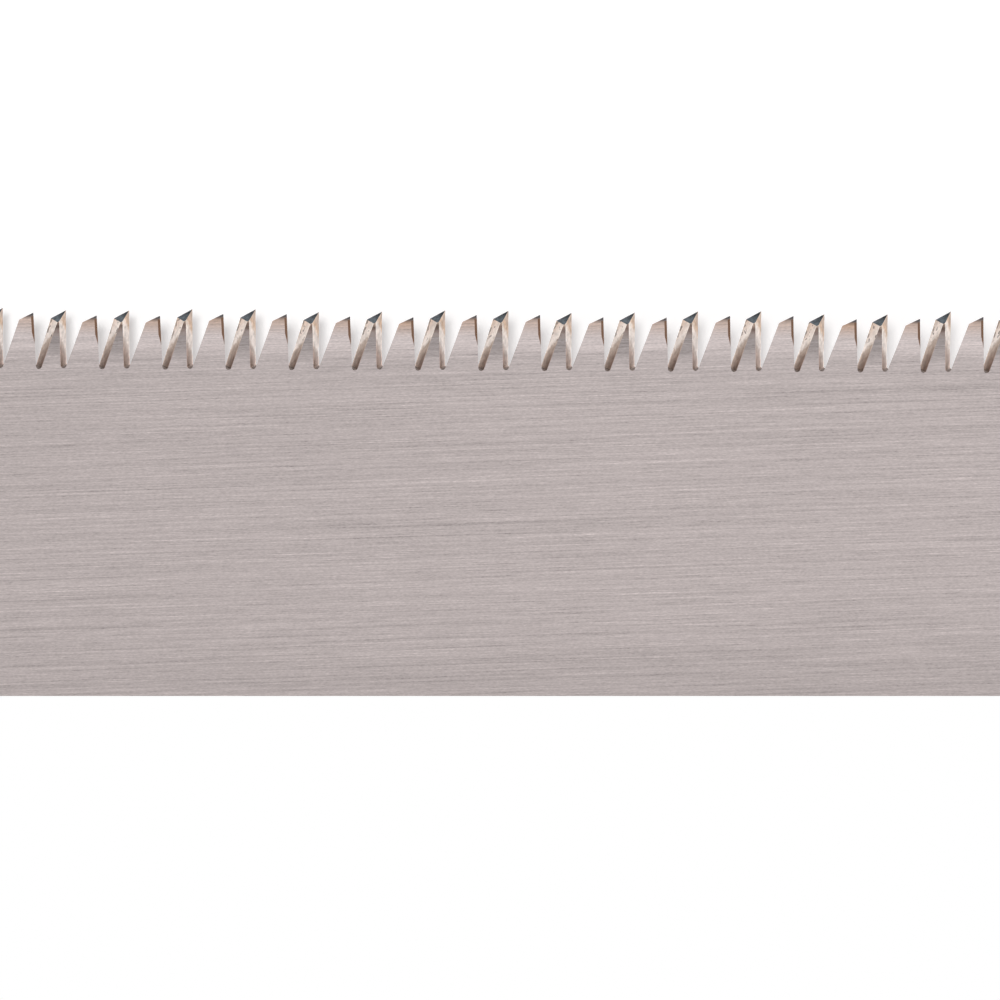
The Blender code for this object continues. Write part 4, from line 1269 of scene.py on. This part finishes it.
def washerPiece():
    size = washerSizes
    low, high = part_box("screw_washer")
    outer, inner, edge = high.y, size["hole"], size["edge"]
    profile = roundedLine([
        (inner, high.z, edge), (outer, high.z, edge), (outer, low.z, edge), (inner, low.z, edge),
    ], steps=size["edgeSteps"])
    mesh = shiftMesh(turnedMesh("screwWasher", [*profile, profile[0]], size["sides"]), screwPlace.x)
    work = bmesh.new()
    work.from_mesh(mesh)
    bmesh.ops.remove_doubles(work, verts=work.verts, dist=hair)
    piece = smoothShade(objectFrom(turnOutwards(work), "screwWasher"), 40)
    return handOver(piece, turnedNickel, "washer", "clamp_steel", "screw_washer")


def nutPiece():
    size = nutSizes
    low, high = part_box("clamp_nut")

    def nutRadius(turn, height):
        flat = size["flats"] / 2 / math.cos((turn % (math.pi / 3)) - math.pi / 6)
        edge = min(height - low.z, high.z - height)
        cone = size["flats"] / 2 * size["endShare"] + max(edge, 0) * size["endSlope"]
        return min(flat, cone), 0.0

    heights = [low.z + (high.z - low.z) * i / size["rows"] for i in range(size["rows"] + 1)]
    nut = objectFrom(gridWork(heights, size["sides"], nutRadius), "clampNut")
    cutOut(nut, [rodCutter(0, 0, size["hole"], low.z - mm, high.z + mm, size["holeSides"])])
    shiftMesh(nut.data, screwPlace.x)
    return handOver(smoothShade(nut, 30), nickel, "handle", "clamp_steel", "clamp_nut")


screwPiece()
washerPiece()
nutPiece()
print("screw, washer and nut")


# Handle: ferrule, two halves of the core, pins, winding and tacks

handleSizes = {
    "oval": 0.78,
    "bedFront": 13.7 * mm,
    "bedRear": 15.8 * mm,
    "bedGap": 0.1 * mm,
    "bedRadius": 0.15 * mm,
    "spigot": 13.2 * mm,
    "spigotRadius": 0.4 * mm,
    "spigotInner": 12.2 * mm,
    "shoulderRadius": 0.7 * mm,
    "buttLength": 16 * mm,
    "buttChamfer": 2.5 * mm,
    "buttRadii": (1.6 * mm, 1.2 * mm),
    "buttInner": 2 * mm,
    "clearance": 0.2 * mm,
    "holeClearance": 0.15 * mm,
    "tackHole": 0.75 * mm,
    "drillReach": 30 * mm,
    "sides": 96,
}
ferruleSizes = {
    "wall": 1 * mm,
    "mouth": 2 * mm,  # widened by the mortise
    "frontRound": 1.1 * mm,
    "rearRound": 0.4 * mm,
    "rearCut": 0.12 * mm,
    "grooves": (0.28, 0.36),  # of the ferrule's length
    "groove": 0.25 * mm,
    "grooveHalf": 0.45 * mm,
    "roundPoints": 9,
    "mortiseFront": 5 * mm,
}
pinSizes = {"chamfer": 0.35 * mm, "sides": 32}
tackSizes = {"head": 0.8 * mm, "rim": 0.12 * mm, "shank": 0.6 * mm, "point": 1.5 * mm, "steps": 8, "sides": 32}
caneSizes = {
    "loops": 24,
    "lead": 4 / 13.7,  # angle from an end of the winding to its tack
    "endRoom": 0.4 * mm,
    "turnGap": 0.35 * mm,
    "pairWidth": 2.02,  # cane widths
    "strands": (0.505, 1.515),  # cane widths from the winding's front edge
    "thickness": 1.42 * mm,
    "swell": 0.62,  # the lower, the fuller the section
    "seat": 0.06 * mm,
    "pointsInLoop": 56,
    "sectionPoints": 14,
}
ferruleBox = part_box("front_ferrule")
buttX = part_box("upper_handle_half")[1].x
bedX, shoulderX = ferruleBox[1].x + handleSizes["bedGap"], buttX - handleSizes["buttLength"]


def ovalRows(work, profile, sides, arc=(0, fullTurn), gap=0.0):  # profile of (x, radius)
    rows = []
    for x, radius in profile:
        lift = math.asin(min(gap / (handleSizes["oval"] * radius), 1)) if gap else 0
        turns = np.linspace(arc[0] + lift, arc[1] - lift, sides)
        if arc[1] - arc[0] == fullTurn:
            turns = turns[:-1]
        rows.append([
            work.verts.new((x, radius * math.cos(t), bladeMid + handleSizes["oval"] * radius * math.sin(t)))
            for t in turns
        ])
    return rows


def mortiseCutter(low, high):
    room = Vector((handleSizes["clearance"],) * 3)
    return boxCutter(low - room, high + room)


def cheekMortise():
    upper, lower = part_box("upper_clamp_cheek"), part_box("lower_clamp_cheek")
    rear = clampSizes["rearWidth"] / 2
    front = ferruleBox[0].x - ferruleSizes["mortiseFront"]
    return mortiseCutter(Vector((front, -rear, lower[0].z)), Vector((upper[1].x, rear, upper[1].z)))


def ferrulePiece():
    size = ferruleSizes
    low, high = ferruleBox
    outer, length = high.y, high.x - low.x
    inner, front, rear, cut = outer - size["wall"], size["frontRound"], size["rearRound"], size["rearCut"]
    profile = [(0.0, size["mouth"]), (0.0, outer - front)]
    profile += [
        (front * (1 - math.cos(t)), outer - front * (1 - math.sin(t)))
        for t in np.linspace(0, math.pi / 2, size["roundPoints"])[1:]
    ]
    for share in size["grooves"]:
        profile += [
            (share * length + s * size["grooveHalf"], outer - size["groove"] * math.cos(s * math.pi / 2))
            for s in np.linspace(-1, 1, size["roundPoints"])
        ]
    profile += [(length - rear, outer), (length - cut, outer - cut), (length, outer - rear)]
    profile += [(length, inner), (size["wall"], inner), (size["wall"], size["mouth"])]
    work = bmesh.new()
    rows = ovalRows(work, [(low.x + x, radius) for x, radius in profile], handleSizes["sides"] + 1)
    ringFaces(work, [*rows, rows[0]])
    piece = cutOut(objectFrom(turnOutwards(work), "frontFerrule"), [cheekMortise()])
    return handOver(smoothShade(piece, 32), drawnSteel, "handle", "ferrule_steel", "front_ferrule")


def corePiece(node, side):
    size = handleSizes
    low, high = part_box(node)
    butt, chamfer = high.y, size["buttChamfer"]
    profile = roundedLine([
        (low.x, size["spigotInner"], 0), (low.x, size["spigot"], size["spigotRadius"]), (bedX, size["spigot"], 0),
        (bedX, size["bedFront"], size["bedRadius"]), (shoulderX, size["bedRear"], 0),
        (shoulderX, butt, size["shoulderRadius"]), (high.x - chamfer, butt, size["buttRadii"][0]),
        (high.x, butt - chamfer, size["buttRadii"][1]), (high.x, butt - chamfer - size["buttInner"], 0),
    ], closed=False, steps=6)
    gap = low.z - bladeMid if side > 0 else bladeMid - high.z
    arc = (0, math.pi) if side > 0 else (math.pi, fullTurn)
    work = bmesh.new()
    rows = ovalRows(work, profile, size["sides"] // 2 + 1, arc, gap)
    ringFaces(work, rows)
    work.faces.new(rows[0])
    work.faces.new(rows[-1][::-1])
    piece = objectFrom(turnOutwards(work), plainName(node))
    bottom, top = bladeMid - size["drillReach"], bladeMid + size["drillReach"]
    tangLow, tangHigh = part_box("tang_bar")
    cutters = [cheekMortise(), mortiseCutter(Vector((ferruleBox[0].x, *tangLow.yz)), tangHigh)]
    cutters += [rodCutter(p.x, p.y, tangSizes["pinHole"], bottom, top) for p in pinPlaces]
    if side > 0:
        for tack in ("front_wrap_tack", "rear_wrap_tack"):
            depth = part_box(tack)[0].z - size["holeClearance"]
            cutters.append(rodCutter(middle(tack).x, middle(tack).y, size["tackHole"], depth, top))
    cutOut(piece, cutters)
    return handOver(smoothShade(piece, 32), wood, "handle", "core_wood", node)


def pinPiece(node):
    low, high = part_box(node)
    radius, chamfer = high.y, pinSizes["chamfer"]
    profile = [
        (0, high.z), (radius - chamfer, high.z), (radius, high.z - chamfer), (radius, low.z + chamfer),
        (radius - chamfer, low.z), (0, low.z),
    ]
    return turnedPiece(node, profile, pinSizes["sides"], 32, millScale, "tang_steel")


def tackPiece(node):
    size = tackSizes
    low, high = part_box(node)
    foot = high.z - size["head"]
    head = domeLine(high.y, high.z - foot, foot, size["rim"], size["steps"])
    profile = [*head, (size["shank"], foot), (size["shank"], low.z + size["point"]), (0, low.z)]
    return turnedPiece(node, profile, size["sides"], 40, brass, "screw_brass")


def windingTree():
    tree, given, out = newTree("caneWinding", "Geometry", {
        "Geometry": "Geometry", "Loops": 24.0, "Lead": 0.3, "Points": 1000, "Section Points": 12, "Swell": 0.6,
        "Start": 0.0, "Pitch": 8 * mm, "Cane Width": 4 * mm, "Thickness": 1.4 * mm, "Seat": 0.0, "Bed Start": 0.0,
        "Bed Length": 0.2, "Front Radius": 13 * mm, "Radius Growth": 2 * mm, "Oval": 0.78, "Middle Height": 0.0,
        "Finish": "Material",
    }, {"Geometry": "Geometry"})
    circle = fromNode(tree, "GeometryNodeCurvePrimitiveCircle", {"Resolution": given["Section Points"], "Radius": 1.0})
    outward, across = parts(fromNode(tree, "GeometryNodeInputPosition"))[:2]
    swell = calc("MAXIMUM", outward, 0.0) ** given["Swell"]
    halfWidth = given["Cane Width"] * 0.5
    section = moved(store(circle, "across", across), vector(swell * given["Thickness"], across * halfWidth))
    line = fromNode(tree, "GeometryNodeCurvePrimitiveLine", {"Start": (0, 0, 0), "End": (1, 0, 0)})
    points = fromNode(tree, "GeometryNodeResampleCurve", {"Curve": line, "Count": given["Points"]})
    share = fromNode(tree, "GeometryNodeInputIndex") / (given["Points"] - 1.0)
    turned = share * (given["Loops"] * fullTurn + given["Lead"] * 2.0)
    angle = turned - given["Lead"] + math.pi / 2
    front = given["Start"] + turned / fullTurn * given["Pitch"]
    cosine, sine = calc("COSINE", angle), calc("SINE", angle)
    normal = vector(0.0, cosine * given["Oval"], sine)
    length = fromNode(tree, "GeometryNodeSplineParameter", output="Length")
    join = putNode(tree, "GeometryNodeJoinGeometry")
    for strand, offset in enumerate(caneSizes["strands"]):
        x = front + given["Cane Width"] * offset
        grown = (x - given["Bed Start"]) / given["Bed Length"]
        radius = given["Front Radius"] + grown * given["Radius Growth"] + given["Seat"]
        height = radius * sine * given["Oval"] + given["Middle Height"]
        wires = {"Curve": moved(points, vector(x, radius * cosine, height)), "Normal": normal}
        faced = fromNode(tree, "GeometryNodeSetCurveNormal", wires, mode="FREE")
        marked = store(store(faced, "along", length), "luck", float(strand))
        wires = {"Curve": marked, "Profile Curve": section, "Fill Caps": True}
        fromNode(tree, "GeometryNodeCurveToMesh", wires).to(join.inputs[0])
    smooth = fromNode(tree, "GeometryNodeSetShadeSmooth", {"Geometry": Flow(join.outputs[0])})
    closeTree(smooth, given, out)
    return tree


def windingPiece():
    size, body = caneSizes, handleSizes
    start = bedX + size["endRoom"]
    turns = size["loops"] + size["lead"] / math.pi
    pitch = (shoulderX - size["endRoom"] - start + size["turnGap"]) / (turns + 1)
    piece = growNodes(newObject("caneWinding", bpy.data.meshes.new("caneWinding")), windingTree(), {
        "Loops": float(size["loops"]), "Lead": size["lead"], "Points": size["loops"] * size["pointsInLoop"] + 1,
        "Section Points": size["sectionPoints"], "Swell": size["swell"], "Start": start, "Pitch": pitch,
        "Cane Width": (pitch - size["turnGap"]) / size["pairWidth"], "Thickness": size["thickness"],
        "Seat": size["seat"], "Bed Start": bedX, "Bed Length": shoulderX - bedX, "Front Radius": body["bedFront"],
        "Radius Growth": body["bedRear"] - body["bedFront"], "Oval": body["oval"], "Middle Height": bladeMid,
        "Finish": cane,
    })
    return handOver(piece, None, "handle", "split_cane", "rattan_wrap")


ferrulePiece()
corePiece("upper_handle_half", 1)
corePiece("lower_handle_half", -1)
for pinNode in ("front_tang_pin", "rear_tang_pin"):
    pinPiece(pinNode)
winding = windingPiece()
for tackNode in ("front_wrap_tack", "rear_wrap_tack"):
    tackPiece(tackNode)
print("handle: ferrule, core, pins, winding of", len(winding.data.polygons), "faces and tacks")


# Studio: floor, light and the photograph's camera

studio = {
    "floorSize": 6.0,
    "floorMiddle": 0.3,  # metres behind the toe
    "toeRest": 0.9,  # of the toe's land: the saw rests here and on the winding's front turn
    "turnDrop": 12 * mm,  # of the front turn below the blade
    "floorColour": (0.74, 0.74, 0.74, 1),
    "floorSeen": 0.33,  # glow that the camera sees
    "floorMirrored": 0.58,  # glow that metal mirrors
    "soft": 0.45,  # light of the room on matt surfaces
    "zenith": 1.0,  # what metal mirrors overhead
    "zenithFrom": 0.6,
    "horizon": 0.5,
    "sideways": 0.45,  # it mirrors more light from +X than from -X
    "lamp": 1.85,
    "lampSpread": math.radians(15),
    "lampFrom": (-0.1, 0.36, 0.9),
}
photoView = {
    "picture": 1000,
    "tooth": 32,  # a bevelled tooth whose tip is at the next value
    "toothPixel": (192.4, 308.9),
    "pixelsPerMetre": 18590,
    "tilt": math.radians(15),  # from square to the blade, towards the teeth
    "roll": math.radians(2.0),
    "lens": 250,
    "sensor": 36,
    "cropRow": 696,  # the photograph shows the blade no lower than this
    "nearest": 0.01,
}


def layFloor():
    toe = Vector((bladeBox[0].x + studio["toeRest"] * bladeSizes["toeLand"], 0, bladeBox[0].z))
    frontTurn = Vector((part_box("rattan_wrap")[0].x, 0, bladeMid - studio["turnDrop"]))
    along = (frontTurn - toe).normalized()
    work = bmesh.new()
    half = studio["floorSize"] / 2
    corners = [(-half, -half), (half, -half), (half, half), (-half, half)]
    places = [toe + along * (studio["floorMiddle"] + u) + Vector((0, v, 0)) for u, v in corners]
    work.faces.new([work.verts.new(place) for place in places])
    floor = objectFrom(work, "studioFloor")
    made = bpy.data.materials.new("paleFloor")
    made.use_nodes = True
    tree = made.node_tree
    tree.nodes.remove(tree.nodes["Principled BSDF"])
    matt = fromNode(tree, "ShaderNodeBsdfDiffuse", {"Color": studio["floorColour"]})
    path = outputs(putNode(tree, "ShaderNodeLightPath"))
    mirrored = calc("MAXIMUM", path["Is Glossy Ray"], path["Is Transmission Ray"])
    level = path["Is Camera Ray"] * studio["floorSeen"] + mirrored * studio["floorMirrored"]
    glow = fromNode(tree, "ShaderNodeEmission", {"Strength": level})
    both = fromNode(tree, "ShaderNodeAddShader", {0: matt, 1: glow})
    below = fromNode(tree, "ShaderNodeNewGeometry", output="Backfacing")  # from below the floor can be seen through
    through = fromNode(tree, "ShaderNodeBsdfTransparent")
    shown = fromNode(tree, "ShaderNodeMixShader", {0: below * path["Is Camera Ray"], 1: both, 2: through})
    shown.to(tree.nodes["Material Output"].inputs["Surface"])
    floor.data.materials.append(made)


def lightWorld():
    world = bpy.data.worlds.new("softStudio")
    scene.world = world
    world.use_nodes = True
    tree = world.node_tree
    background = tree.nodes["Background"].inputs
    sky = parts(fromNode(tree, "ShaderNodeTexCoord", output="Generated"))
    level = spread(sky[2], 0.0, studio["zenithFrom"], studio["horizon"], studio["zenith"])
    level = level * (sky[0] * studio["sideways"] + 1)
    path = outputs(putNode(tree, "ShaderNodeLightPath"))
    matt = path["Is Diffuse Ray"]
    seen = matt * studio["soft"] + (1 - matt) * level
    fromNode(tree, "ShaderNodeMix", {0: path["Is Camera Ray"], 2: seen, 3: 1.0}).to(background["Strength"])
    background["Color"].default_value = (1, 1, 1, 1)


def lightKey():
    lamp = bpy.data.lights.new("keyLight", "SUN")
    lamp.energy, lamp.angle = studio["lamp"], studio["lampSpread"]
    made = newObject("keyLight", lamp)
    made.visible_glossy = False  # the room alone is mirrored in the metal
    made.rotation_euler = Vector(studio["lampFrom"]).to_track_quat("Z", "Y").to_euler()


def placeCamera():
    view = photoView
    tilt, roll = view["tilt"], view["roll"]
    right = Vector((math.cos(roll), -math.sin(roll), 0))
    upBlade = Vector((math.sin(roll), math.cos(roll), 0))
    back = upBlade * math.sin(tilt) + Vector((0, 0, math.cos(tilt)))
    up = upBlade * math.cos(tilt) - Vector((0, 0, math.sin(tilt)))
    tipAlong = view["tooth"] * crosscut["pitch"] + crosscut["evenTip"]
    lowest = bladeMid - bladeSizes["thickness"] / 2 - bladeSizes["set"]
    tip = Vector((*edgePlace(1, tipAlong, 0), lowest))
    focal = view["lens"] / view["sensor"] * view["picture"]  # in pixels
    away = focal / view["pixelsPerMetre"]
    half = view["picture"] / 2
    aside = (view["toothPixel"][0] - half) / view["pixelsPerMetre"]
    above = (half - view["toothPixel"][1]) / view["pixelsPerMetre"]
    camera = newObject("photoCamera", bpy.data.cameras.new("photoCamera"))
    camera.data.lens, camera.data.sensor_width = view["lens"], view["sensor"]
    camera.location = tip - right * aside - up * above + back * away
    camera.rotation_euler = Matrix((right, up, back)).transposed().to_euler()
    drop = (half - view["cropRow"]) / focal
    topFace = bladeMid + bladeSizes["thickness"] / 2
    camera.data.clip_start = view["nearest"]
    camera.data.clip_end = (camera.location.z - topFace) / (back.z - drop * up.z)
    scene.camera = camera


layFloor()
lightWorld()
lightKey()
placeCamera()
print("studio: floor, light and camera")

print("pieces:", len(pieceTally))
